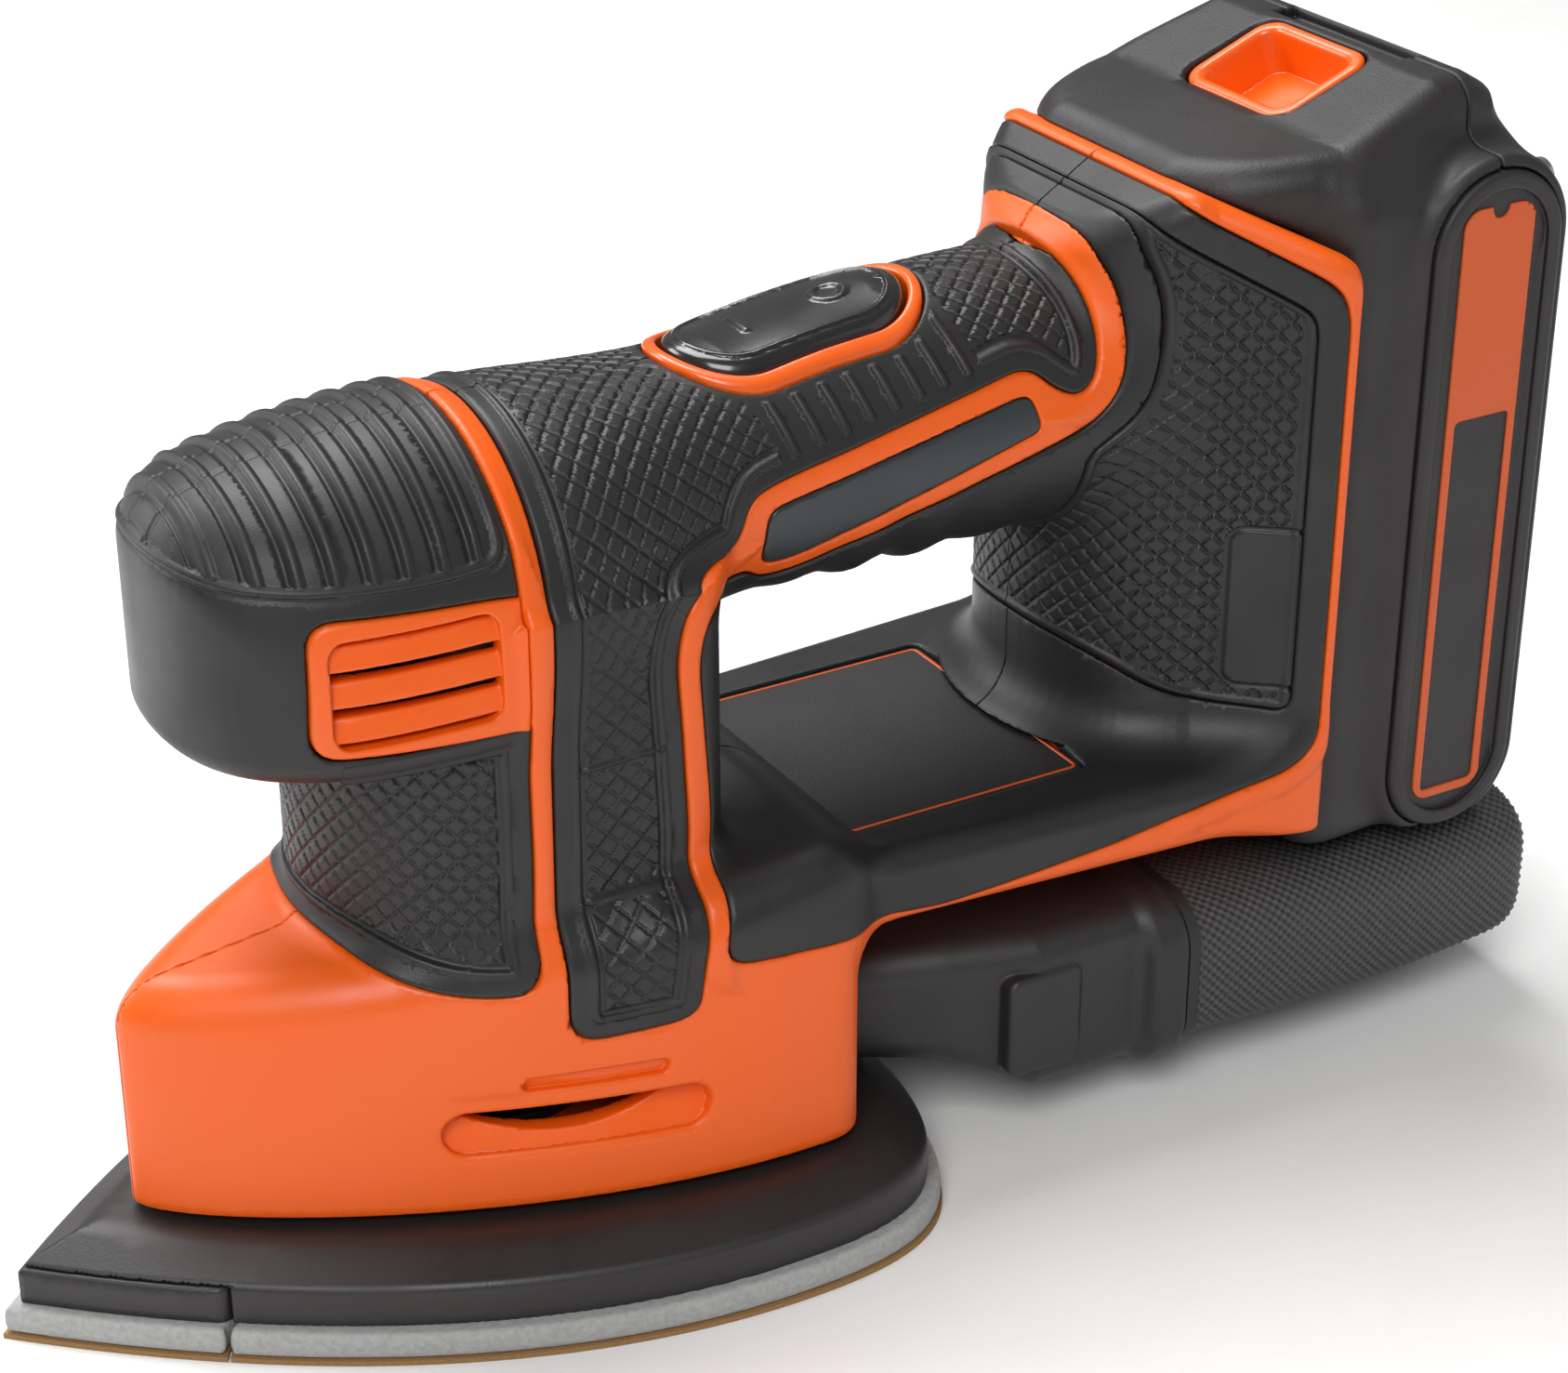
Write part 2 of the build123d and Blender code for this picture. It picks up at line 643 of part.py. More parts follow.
# ------------------------------------------------------------------ platen and sanding parts
BOSS_TOP = BEARING_Z + BEARING_T + 0.5
with BuildPart() as platen:
    with BuildSketch(Plane.XY.offset(PLATE_Z)):
        add(pad_plan(PLATE_INSET))
        add(tip_plan(TIP_GAP), mode=Mode.SUBTRACT)
    extrude(amount=RIM_T)
    add(stack([(DECK_Z, pad_plan(PLATE_INSET)), (PLATE_TOP, pad_plan(PLATE_INSET + DECK_INSET))]))
    add(turned([(DECK_Z, BOSS_TOP, BEARING_R + 3, 0)], x=PIN_X))
    add(turned([(BEARING_Z, BOSS_TOP, BEARING_R, 0)], x=PIN_X), mode=Mode.SUBTRACT)
    with BuildSketch(Plane.XY.offset(PLATE_Z)):
        with Locations(*POST_SPOTS):
            Circle(1.6)
    extrude(amount=PLATE_TOP - PLATE_Z, mode=Mode.SUBTRACT)
    with BuildSketch(Plane.XY.offset(PLATE_Z)):
        with Locations(*POST_SPOTS):
            Circle(3.2)
    extrude(amount=2.4, mode=Mode.SUBTRACT)
keep(platen.part, "platen")

with BuildPart() as platen_screws:
    for x, y in POST_SPOTS:
        add(turned([(PLATE_Z + 0.2, PLATE_Z + 2.4, 3.0, 0)], x=x).moved(Location((0, y, 0))))
        add(turned([(PLATE_Z + 2.4, PLATE_TOP + 9, 1.5, 0)], x=x).moved(Location((0, y, 0))))
keep(platen_screws.part, "platen_screws")

with BuildPart() as isolator_posts:
    with BuildSketch(Plane.XY.offset(PLATE_TOP)):
        with Locations(*POST_SPOTS):
            Circle(POST_R)
            Circle(1.5, mode=Mode.SUBTRACT)
    extrude(amount=POST_TOP - PLATE_TOP)
keep(isolator_posts.part, "isolator_posts")


def tip_layer(inset, bottom, top):
    """A layer of the detachable tip."""
    with BuildPart() as layer:
        with BuildSketch(Plane.XY.offset(bottom)):
            add(pad_plan(inset))
            add(tip_plan(), mode=Mode.INTERSECT)
        extrude(amount=top - bottom)
    return layer.part


def pad_layer(inset, bottom, top):
    """A layer of the main pad, with the tip's diamond cut out."""
    with BuildPart() as layer:
        with BuildSketch(Plane.XY.offset(bottom)):
            add(pad_plan(inset))
            add(tip_plan(TIP_GAP), mode=Mode.SUBTRACT)
        extrude(amount=top - bottom)
    return layer.part


keep(tip_layer(PLATE_INSET, PLATE_Z, DECK_Z), "detail_tip")
keep(tip_layer(0, FOAM_Z, PLATE_Z), "tip_foam")
keep(tip_layer(0, 0, FOAM_Z), "tip_sheet")
keep(pad_layer(0, FOAM_Z, PLATE_Z), "foam_pad")
keep(pad_layer(0, 0, FOAM_Z), "sanding_sheet")

# ------------------------------------------------------------------ terminal block and battery
BLADE_Z = 76.0
BLADE_TOP = 94.0
BLADES = [-BLADE_PITCH, 0.0, BLADE_PITCH]
BLADE_GAP = 1.3  # half the width of the battery's slots for them
with BuildPart() as terminal_block:
    add(box_between((DOCK_X - 10, -14.6, 72.4), (DOCK_X, 14.6, 97.6)))
    for y in BLADES:
        add(box_between((DOCK_X - 4, y - BLADE_T / 2, BLADE_Z),
                        (DOCK_X + 8, y + BLADE_T / 2, BLADE_TOP)))
keep(terminal_block.part, "terminal_block")


def pack_section(inset):
    """The battery's cross-section, a block with a faceted crown, run along its length."""
    half = PACK_HALF - inset
    with BuildPart() as run:
        with BuildSketch(Plane.YZ.offset(RIM_X - 5)):
            with BuildLine():
                Polyline((0, PACK_BOTTOM - 5), (half, PACK_BOTTOM - 5), (half, 141.5 - inset / 2),
                         (half - 1.6, 145.5 - inset), (half - 8.2, 150.5 - inset),
                         (half - 15, 156 - inset), (0, PACK_TOP + 1 - inset))
                mirror(about=Plane.YZ)
            make_face()
        extrude(amount=PACK_REAR - RIM_X + 10)
    return run.part


def pack_outline(inset):
    """The battery's outline from above, narrow in front where it leans over the housing."""
    half = PACK_HALF - inset
    with BuildPart() as run:
        with BuildSketch(Plane.XY.offset(PACK_BOTTOM - 5)):
            with BuildLine():
                Polyline((RIM_X + inset, 0), (RIM_X + inset, 16 - inset), (RIM_X + 7, 26.5 - inset),
                         (DOCK_X - 4, half), (PACK_REAR - 6, half), (PACK_REAR - inset, half - 6),
                         (PACK_REAR - inset, 0))
                mirror(about=Plane.XZ)
            make_face()
        extrude(amount=PACK_TOP - PACK_BOTTOM + 10)
    return run.part


def pack_form(inset, front, rear):
    """The battery's form between two X planes: a tall block whose crown leans over the housing."""
    dock = DOCK_X + PACK_GAP + inset
    profile = [
        (dock, PACK_BOTTOM + inset), (dock, RIM_REAR + PACK_GAP + inset),
        (RIM_X + inset, RIM_TOP + PACK_GAP + inset), (RIM_X + 1.5 + inset, RIM_TOP + 2.6 - inset / 4),
        (BUTTON_FOOT, 149.8 - inset), (PACK_SEAM - 5, PACK_TOP - inset),
        (PACK_SEAM + 2, PACK_TOP - inset), (PACK_REAR - 7 - inset / 2, PACK_TOP - 3 - inset),
        (PACK_REAR - inset, PACK_TOP - 12 - inset), (PACK_REAR - inset, PACK_BOTTOM + inset),
    ]
    with BuildPart() as form:
        add(side_prism(profile))
        add(pack_section(inset), mode=Mode.INTERSECT)
        add(pack_outline(inset), mode=Mode.INTERSECT)
        add(box_between((front, -50, 0), (rear, 50, 200)), mode=Mode.INTERSECT)
    return form.part


def panel_slab(half_y_low, half_y_high, grow=0.0):
    """Both stadium side panels of the battery between two distances from the middle."""
    low, high = PACK_BOTTOM - 0.2 - grow, PACK_BOTTOM + 107.8 + grow
    with BuildPart() as slabs:
        for sign in (-1, 1):
            with BuildSketch(Plane.XZ.offset(sign * half_y_low)):
                with Locations((PANEL_X, (low + high) / 2)):
                    RectangleRounded(2 * (PANEL_HALF + grow), high - low, PANEL_HALF + grow - 0.01)
            extrude(amount=sign * (half_y_high - half_y_low))
    return slabs.part


PACK_WALL = 2.0
button_plane = Plane(origin=(BUTTON_X, 0, BUTTON_Z),
                     x_dir=(math.cos(math.radians(BUTTON_SLOPE)), 0,
                            math.sin(math.radians(BUTTON_SLOPE))),
                     z_dir=(-math.sin(math.radians(BUTTON_SLOPE)), 0,
                            math.cos(math.radians(BUTTON_SLOPE))))


def button_slab(grow, bottom, top):
    """A rounded slab on the release button's slope between two depths."""
    with BuildPart() as slab:
        with BuildSketch(button_plane.offset(bottom)):
            RectangleRounded(BUTTON_LENGTH + 2 * grow, 2 * (BUTTON_HALF + grow), 4 + grow)
        extrude(amount=top - bottom)
    return slab.part


pack_whole = pack_form(0, RIM_X - 1, PACK_REAR + 1) - panel_slab(PACK_HALF - PANEL_T, PACK_HALF + 5)
pack_hollow = pack_form(PACK_WALL, RIM_X - 1, PACK_REAR + 1) - panel_slab(
    PACK_HALF - PANEL_T - PACK_WALL, PACK_HALF + 5, grow=PACK_WALL)
front_half = box_between((RIM_X - 2, -60, 0), (PACK_SEAM, 60, 200))
crown_slot = box_between((PACK_SEAM - 1.5, -15, PACK_TOP - 1.6), (PACK_SEAM + 1.5, 15, PACK_TOP + 2))
LATCH_X = 124.0
with BuildPart() as pack_front_shell:
    add((pack_whole - pack_hollow) & front_half)
    # walls around the rail grooves, then the grooves, open at the bottom
    for side in (-1, 1):
        y = side * RAIL_HALF
        add(box_between((DOCK_X + PACK_GAP, y - 6.5, PACK_BOTTOM + 4), (DOCK_X + 6.5, y + 6.5, 127)))
        add(box_between((DOCK_X - 1, y - 2.4, 30), (DOCK_X + 4.4, y + 2.4, 124.4)), mode=Mode.SUBTRACT)
        add(box_between((DOCK_X + 1.6, y - 4.4, 30), (DOCK_X + 4.4, y + 4.4, 124.4)), mode=Mode.SUBTRACT)
    for y in BLADES:
        add(box_between((DOCK_X, y - BLADE_GAP, 30), (DOCK_X + 4, y + BLADE_GAP, BLADE_TOP + 1.5)),
            mode=Mode.SUBTRACT)
        add(box_between((DOCK_X, y - BLADE_GAP, 30), (DOCK_X + 8.8, y + BLADE_GAP, PACK_BOTTOM + 3)),
            mode=Mode.SUBTRACT)
    add(button_slab(0.4, -14, 10), mode=Mode.SUBTRACT)
    add(box_between((LATCH_X - 4.4, -6.4, 130), (LATCH_X + 4.4, 6.4, 146)), mode=Mode.SUBTRACT)
    add(crown_slot, mode=Mode.SUBTRACT)
keep(pack_front_shell.part, "pack_front_shell")

with BuildPart() as pack_rear_cover:
    add((pack_whole - pack_hollow) - front_half)
    add(crown_slot, mode=Mode.SUBTRACT)
    for z in (44.5, 140.5):
        for y in (-30.0, 30.0):
            with BuildSketch(Plane.YZ.offset(PACK_REAR + 1)):
                with Locations((y, z)):
                    Circle(SCREW_HEAD_R + 0.2)
            extrude(amount=-2.5, mode=Mode.SUBTRACT)
keep(pack_rear_cover.part, "pack_rear_cover")

with BuildPart() as pack_screws:
    for z in (44.5, 140.5):
        for y in (-30.0, 30.0):
            with BuildSketch(Plane.YZ.offset(PACK_REAR - 1.5)):
                with Locations((y, z)):
                    Circle(SCREW_HEAD_R)
                    RegularPolygon(1.2, 6, mode=Mode.SUBTRACT)
            extrude(amount=1.2)
keep(pack_screws.part, "pack_screws")
for side, word in ((-1, "left"), (1, "right")):
    keep(half_of(panel_slab(PACK_HALF - PANEL_T, PACK_HALF + 0.8), side), f"pack_panel_{word}")

CELL_X = PACK_REAR - PACK_WALL - CELL_R - 4.0
CELL_Z = PACK_BOTTOM + PACK_WALL + CELL_R + 1.5
with BuildPart() as cells:
    with BuildSketch(Plane.XZ.offset(-CELL_LENGTH / 2)):
        for i in range(CELL_COUNT):
            with Locations((CELL_X, CELL_Z + i * CELL_PITCH)):
                Circle(CELL_R)
    extrude(amount=CELL_LENGTH)
keep(cells.part, "cells")

with BuildPart() as cell_holder:
    holder_top = CELL_Z + (CELL_COUNT - 1) * CELL_PITCH + CELL_R + 1
    for y in (-24.0, 24.0):
        add(box_between((CELL_X - CELL_R - 1, y - 1.5, CELL_Z - CELL_R - 1),
                        (CELL_X + CELL_R + 1, y + 1.5, holder_top)))
    with BuildSketch(Plane.XZ.offset(-40)):
        for i in range(CELL_COUNT):
            with Locations((CELL_X, CELL_Z + i * CELL_PITCH)):
                Circle(CELL_R)
    extrude(amount=80, mode=Mode.SUBTRACT)
keep(cell_holder.part, "cell_holder")

BOARD_X = DOCK_X + 9.6
with BuildPart() as pack_board:
    add(box_between((BOARD_X, -18, 62), (BOARD_X + 1.6, 18, 128)))
keep(pack_board.part, "pack_board")

with BuildPart() as pack_terminals:
    for y in BLADES:
        for sign in (-1, 1):
            near, far = sorted((y + sign * (BLADE_T / 2 + 0.15), y + sign * (BLADE_T / 2 + 0.95)))
            add(box_between((DOCK_X + 4.2, near, BLADE_Z), (BOARD_X, far, BLADE_TOP)))
keep(pack_terminals.part, "pack_terminals")

with BuildPart() as release_button:
    add(button_slab(0, -BUTTON_DEPTH, -0.4))
    with BuildSketch(button_plane.offset(-BUTTON_DEPTH + 1.6)):
        RectangleRounded(BUTTON_LENGTH - 3.2, 2 * BUTTON_HALF - 3.2, 2.6)
    extrude(amount=BUTTON_DEPTH, mode=Mode.SUBTRACT)
keep(release_button.part, "release_button")

latch_foot = RIM_REAR + (RIM_TOP - RIM_REAR) * (DOCK_X - LATCH_X) / (DOCK_X - RIM_X) - 3.5
with BuildPart() as latch_bolt:
    add(box_between((LATCH_X - 4, -6, latch_foot), (LATCH_X + 4, 6, latch_foot + 5.5)))
keep(latch_bolt.part, "latch_bolt")

# ------------------------------------------------------------------ dust adaptor and bag
def oblong(half, bottom, top, corner):
    """A rounded rectangle in a cross-section, from half its width and its two heights."""
    with BuildSketch() as face:
        with Locations((0, (bottom + top) / 2)):
            RectangleRounded(2 * half, top - bottom, corner)
    return face.sketch


def duct(sections):
    """A ruled body through (x, oblong) sections."""
    with BuildPart() as body:
        for x, face in sections:
            with BuildSketch(Plane.YZ.offset(x)):
                add(face)
        loft(ruled=True)
    return body.part


SPIGOT = 5.0
with BuildPart() as dust_adaptor:
    add(duct([(BASE_REAR + 0.4, oblong(OUTLET_HALF + 3, 17, 35, 4)), (70, oblong(29, 15.6, 36, 5)),
              (84, oblong(34, 9, 36.5, 6)), (FLANGE_X, oblong(34.5, 9, 36.5, 6))]))
    add(duct([(FLANGE_X, oblong(38, 7, 37, 9)), (FLANGE_END, oblong(38, 7, 37, 9))]))
    add(duct([(BASE_REAR - SPIGOT, oblong(OUTLET_HALF, OUTLET_BOTTOM, OUTLET_TOP, 3)),
              (BASE_REAR + 1, oblong(OUTLET_HALF, OUTLET_BOTTOM, OUTLET_TOP, 3))]))
    # the air way through the spigot, the wedge and the flange
    add(duct([(BASE_REAR - SPIGOT - 1, oblong(OUTLET_HALF - 2, OUTLET_BOTTOM + 2, OUTLET_TOP - 2, 2)),
              (BASE_REAR + 2, oblong(OUTLET_HALF - 2, OUTLET_BOTTOM + 2, OUTLET_TOP - 2, 2)),
              (70, oblong(26, 18.6, 33.5, 3)), (84, oblong(31, 12, 34, 4)),
              (FLANGE_X, oblong(32, 12, 34, 4)), (FLANGE_END + 1, oblong(32, 12, 34, 4))]),
        mode=Mode.SUBTRACT)
keep(dust_adaptor.part, "dust_adaptor")

with BuildPart() as outlet_seal:
    add(duct([(BASE_REAR - WALL - 2.2, oblong(OUTLET_HALF + 3.5, 16.6, 35, 3)),
              (BASE_REAR - WALL - 0.1, oblong(OUTLET_HALF + 3.5, 16.6, 35, 3))]))
    add(duct([(BASE_REAR - 7, oblong(OUTLET_HALF + 0.3, OUTLET_BOTTOM - 0.3, OUTLET_TOP + 0.3, 3.3)),
              (BASE_REAR + 1, oblong(OUTLET_HALF + 0.3, OUTLET_BOTTOM - 0.3, OUTLET_TOP + 0.3, 3.3))]),
        mode=Mode.SUBTRACT)
keep(outlet_seal.part, "outlet_seal")

FRAME_T = 2.0
with BuildPart() as bag_frame:
    add(duct([(FLANGE_END, oblong(36.5, BAG_BOTTOM + 1, BAG_TOP - 0.5, 8)),
              (FLANGE_END + FRAME_T, oblong(36.5, BAG_BOTTOM + 1, BAG_TOP - 0.5, 8))]))
    add(duct([(FLANGE_END, oblong(31, 12.5, 33.5, 4)), (FLANGE_END + FRAME_T, oblong(31, 12.5, 33.5, 4))]),
        mode=Mode.SUBTRACT)
keep(bag_frame.part, "bag_frame")

with BuildPart() as dust_bag:
    bag_start = FLANGE_END + FRAME_T
    add(duct([(bag_start, oblong(BAG_HALF - 0.5, BAG_BOTTOM, BAG_TOP, 9)),
              (BAG_END - 14, oblong(BAG_HALF, BAG_BOTTOM, BAG_TOP, 11)),
              (BAG_END - 4, oblong(BAG_HALF - 5, BAG_BOTTOM + 2, BAG_TOP - 2, 10)),
              (BAG_END, oblong(BAG_HALF - 12, BAG_BOTTOM + 6, BAG_TOP - 6, 8))]))
keep(dust_bag.part, "dust_bag")
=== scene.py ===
import json
import math

import bpy
import numpy as np
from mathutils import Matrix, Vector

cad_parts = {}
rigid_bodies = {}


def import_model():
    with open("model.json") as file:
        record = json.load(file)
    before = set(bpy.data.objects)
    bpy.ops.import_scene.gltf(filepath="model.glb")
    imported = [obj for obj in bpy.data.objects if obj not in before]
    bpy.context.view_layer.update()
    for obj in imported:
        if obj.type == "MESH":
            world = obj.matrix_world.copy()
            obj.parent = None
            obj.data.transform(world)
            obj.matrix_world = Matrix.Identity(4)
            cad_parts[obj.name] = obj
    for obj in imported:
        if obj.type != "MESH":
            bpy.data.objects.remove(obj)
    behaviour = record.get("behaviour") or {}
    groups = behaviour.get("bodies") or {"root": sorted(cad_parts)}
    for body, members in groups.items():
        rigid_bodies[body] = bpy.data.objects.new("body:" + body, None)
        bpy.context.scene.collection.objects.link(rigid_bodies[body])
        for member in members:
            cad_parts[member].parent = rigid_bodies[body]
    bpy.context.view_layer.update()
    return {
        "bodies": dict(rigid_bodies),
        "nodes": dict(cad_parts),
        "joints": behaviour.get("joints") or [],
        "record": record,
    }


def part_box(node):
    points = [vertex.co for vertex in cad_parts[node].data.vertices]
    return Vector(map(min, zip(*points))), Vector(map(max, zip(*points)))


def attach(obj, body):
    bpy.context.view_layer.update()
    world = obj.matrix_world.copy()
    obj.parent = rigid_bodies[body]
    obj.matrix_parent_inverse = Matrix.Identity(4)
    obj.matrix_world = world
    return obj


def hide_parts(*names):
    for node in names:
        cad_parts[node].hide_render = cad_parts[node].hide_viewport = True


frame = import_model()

import openvdb
from bpy.props import FloatProperty, PointerProperty, StringProperty
from mathutils import Vector

bl_info = {
    "name": "Detail sander",
    "version": (1, 0, 0),
    "blender": (4, 5, 0),
    "location": "3D View > Sidebar > Sander",
    "description": "Builds the finished surfaces of a cordless detail sander around its design",
    "category": "Add Mesh",
}

MM = 0.001

# ------------------------------------------------------------------ distance fields
# A form is a function of x, y and z in millimetres, negative inside and near the true
# distance to the surface, so that walls, gaps and round edges are plain sums of it.

def rounded_max(a, b, radius):
    """What two forms share, with a round edge."""
    if radius <= 0:
        return np.maximum(a, b)
    inside = np.minimum(np.maximum(a, b), -radius)
    return inside + np.hypot(np.maximum(a + radius, 0), np.maximum(b + radius, 0))


def rounded_min(a, b, radius):
    """Two forms joined with a fillet."""
    return -rounded_max(-a, -b, radius)


def outline_distance(points, u, v):
    """Signed distance to a closed outline, in its own plane."""
    u, v = np.broadcast_arrays(np.float32(u), np.float32(v))
    nearest = np.full(u.shape, 1e9, np.float32)
    inside = np.zeros(u.shape, bool)
    ring = list(points)
    for (u0, v0), (u1, v1) in zip(ring, ring[1:] + ring[:1]):
        du, dv = u1 - u0, v1 - v0
        along = ((u - u0) * du + (v - v0) * dv) / max(du * du + dv * dv, 1e-9)
        along = np.clip(along, 0, 1)
        nearest = np.minimum(nearest, (u - u0 - along * du) ** 2 + (v - v0 - along * dv) ** 2)
        if v0 != v1:
            crosses = ((v0 <= v) & (v < v1)) | ((v1 <= v) & (v < v0))
            inside ^= crosses & (u < u0 + (v - v0) * du / dv)
    return np.where(inside, -1, 1) * np.sqrt(nearest)


def softened(corners, closed=True, steps=5):
    """An outline from (u, v, radius) corners, each rounded by an arc-like curve."""
    count = len(corners)
    points = []
    for i, (u, v, radius) in enumerate(corners):
        before, after = corners[i - 1], corners[(i + 1) % count]
        ends = not closed and i in (0, count - 1)
        if radius <= 0 or ends:
            points.append((u, v))
            continue
        starts = []
        for other in (before, after):
            reach = math.hypot(other[0] - u, other[1] - v)
            cut = min(radius, 0.49 * reach) / reach
            starts.append((u + (other[0] - u) * cut, v + (other[1] - v) * cut))
        for k in range(steps + 1):
            t = k / steps
            weights = ((1 - t) ** 2, 2 * t * (1 - t), t * t)
            points.append(tuple(
                weights[0] * starts[0][j] + weights[1] * (u, v)[j] + weights[2] * starts[1][j]
                for j in (0, 1)))
    return points


def bezier(control, steps=24):
    """Points along a quadratic or cubic curve."""
    degree = len(control) - 1
    points = []
    for k in range(steps):
        t = k / steps
        weights = [math.comb(degree, i) * t ** i * (1 - t) ** (degree - i)
                   for i in range(degree + 1)]
        points.append(tuple(sum(w * c[j] for w, c in zip(weights, control)) for j in (0, 1)))
    return points


def both_sides(half):
    """A closed outline from the half of it that runs from front to rear at positive v."""
    return half + [(u, -v) for u, v in reversed(half) if abs(v) > 1e-6]


def along(x, knots, values):
    """A smooth value along x through a few stations."""
    x = np.clip(x, knots[0], knots[-1])
    slopes = np.gradient(np.array(values, float), np.array(knots, float))
    result = np.zeros_like(np.float32(x))
    for i in range(len(knots) - 1):
        span = knots[i + 1] - knots[i]
        t = np.clip((x - knots[i]) / span, 0, 1)
        piece = ((1 + 2 * t) * (1 - t) ** 2 * values[i] + t * (1 - t) ** 2 * span * slopes[i]
                 + t * t * (3 - 2 * t) * values[i + 1] - t * t * (1 - t) * span * slopes[i + 1])
        result = np.where((x >= knots[i]) & (x <= knots[i + 1]), piece, result)
    return result


# ------------------------------------------------------------------ the housing's form
BASE_OUTLINE = both_sides(
    bezier([(-49, 0), (-49, 8), (0, 37.8), (44, 37.8)])
    + bezier([(44, 37.8), (52, 37.8), (52, 29.8)], 8)
    + [(52, 29.8), (52, 0)])
NOSE_OUTLINE = both_sides(bezier([(-40, 0), (-40, 20.9), (-27, 29.5), (5, 29.5)]) + [(8, 29.5), (8, 0)])
COLUMN_OUTLINE = both_sides(
    bezier([(99, 0), (99, 13), (105.5, 22), (115, 26)], 14)
    + softened([(115, 26, 0), (129, 37.4, 5), (133, 38, 0), (133, 0, 0)], closed=False))


def base_form(x, y, z):
    """The skirt: a blunt prow and full flanks, its top rising gently to the neck."""
    plan = outline_distance(BASE_OUTLINE, x, y)
    top = (z - 52.7 - 0.13 * (x + 38)) * 0.99
    return rounded_max(rounded_max(plan, top, 6.5), 16 - z, 0.8)


def neck_form(x, y, z):
    """The neck: round in front, flat-sided back to the hand opening."""
    plan = rounded_max(np.hypot(np.minimum(x - 8, 0), y) - 28, x - 35, 8)
    return np.maximum(plan, np.abs(z - 72) - 33)


def nose_form(x, y, z):
    """The palm cap: upright sides under a round crown that falls towards the front."""
    crest = 130.2 - 0.0045 * x * x
    crown = np.hypot(y, np.maximum(z - crest + 31, 0)) - 31
    return rounded_max(rounded_max(outline_distance(NOSE_OUTLINE, x, y), crown, 7), 88 - z, 4)


def handle_form(x, y, z):
    """Shoulder and handle: oval sections, with finger waves along the underside."""
    stations = (4, 16, 28, 40, 60, 80, 110)
    middle = along(x, stations, (101, 104.5, 108, 109.7, 111.4, 112.2, 112.4))
    high = along(x, stations, (28.4, 24.2, 20, 18.4, 19.8, 20.6, 20.8))
    wide = along(x, stations, (28.4, 27.4, 23.8, 20.4, 20.1, 20.4, 21.4))
    oval = (np.hypot(y / wide, (z - middle) / high) - 1) * np.minimum(wide, high)
    under = np.clip((middle - z) / high, 0, 1) ** 2
    wave = 0.9 * np.cos((x - 52) * 2 * math.pi / 11.5) * np.clip(1 - np.abs(x - 69) / 27, 0, 1)
    return np.maximum(oval - under * wave, np.maximum(4 - x, x - 112))


def column_form(x, y, z):
    """The rear housing: round in front, flared to the battery, cut by the battery's slope."""
    plan = outline_distance(COLUMN_OUTLINE, x, y)
    front_slope = (z - 139.5 - 0.62 * (x - 102)) / 1.18
    rear_slope = (z - 146 + 0.47 * (x - 112)) / 1.1
    top = rounded_max(front_slope, rear_slope, 1.2)
    return rounded_max(rounded_max(plan, top, 3), 46 - z, 2)


def bar_form(x, y, z):
    """The loop's lower bar, widening towards the battery."""
    side = np.abs(y) - (31 + 7 * np.clip((x - 35) / 95, 0, 1))
    height = np.abs(z - 52) - 6
    return rounded_max(rounded_max(side, height, 3.5), np.maximum(20 - x, x - 133), 1)


def tool_form(x, y, z):
    """The whole outside of the tool's housing and nose."""
    form = rounded_min(base_form(x, y, z), neck_form(x, y, z), 5)
    form = rounded_min(form, bar_form(x, y, z), 7)
    form = rounded_min(form, column_form(x, y, z), 9)
    form = rounded_min(form, handle_form(x, y, z), 5)
    form = rounded_min(form, nose_form(x, y, z), 1.0)
    return rounded_max(form, rounded_max(x - 133, np.abs(y) - 38, 2), 1)


# ------------------------------------------------------------------ zones of the outside
# Seen from the side, as outlines in x and z. What lies between two dark zones shows the
# orange shell as a raised line.
NECK_ZONE = softened([(-45, 59.5, 0), (-45, 95, 0), (3.0, 95, 0), (3.2, 70, 4), (2.6, 51.4, 4.5),
                      (-5, 51.2, 4), (-13, 52.8, 4), (-21, 56.6, 4)])
GRIP_ZONE = softened([
    (7.4, 150, 0), (6.8, 118, 6), (6.2, 92, 6), (5.8, 42.2, 5), (24.2, 43.6, 4.5), (24.8, 50, 3),
    (27.2, 66, 6), (26.4, 84, 6), (25.6, 96, 4), (27.2, 103.0, 4), (31.5, 106.2, 4),
    (39.6, 106.9, 2.5), (41.8, 112.9, 3), (47.5, 114.4, 4), (88.5, 122.6, 3.5), (92.5, 118.8, 3),
    (96.2, 117.2, 2), (99.6, 119.6, 3), (101.0, 125, 3), (100.6, 131.5, 3), (98.2, 137, 3),
    (96.8, 150, 0)])
LOOP_ZONE = softened([
    (27.4, 50.8, 5), (29.2, 60, 4), (31.2, 68, 6), (29.6, 86, 5), (28.9, 95, 4), (30.6, 100.6, 4),
    (42.4, 101.2, 2), (47, 97.6, 4), (91.4, 110.6, 3), (97.6, 112.6, 3), (102.8, 116.6, 4),
    (104.6, 124, 4), (104.0, 131.5, 3), (101.6, 137, 3), (100.2, 150, 0), (110.6, 150, 0),
    (110.8, 144.6, 1), (114, 142.2, 2), (129.4, 133.0, 4), (131.2, 128, 3), (131.2, 61, 5),
    (127, 56.6, 5), (95, 50.8, 3), (66, 47.6, 3), (46, 49.8, 4)])
BADGE_RING = softened([(42.4, 101.2, 3.5), (42.9, 112.0, 4), (89.6, 121.4, 4.5),
                       (92.2, 112.2, 3.5), (47.5, 98.6, 5)])
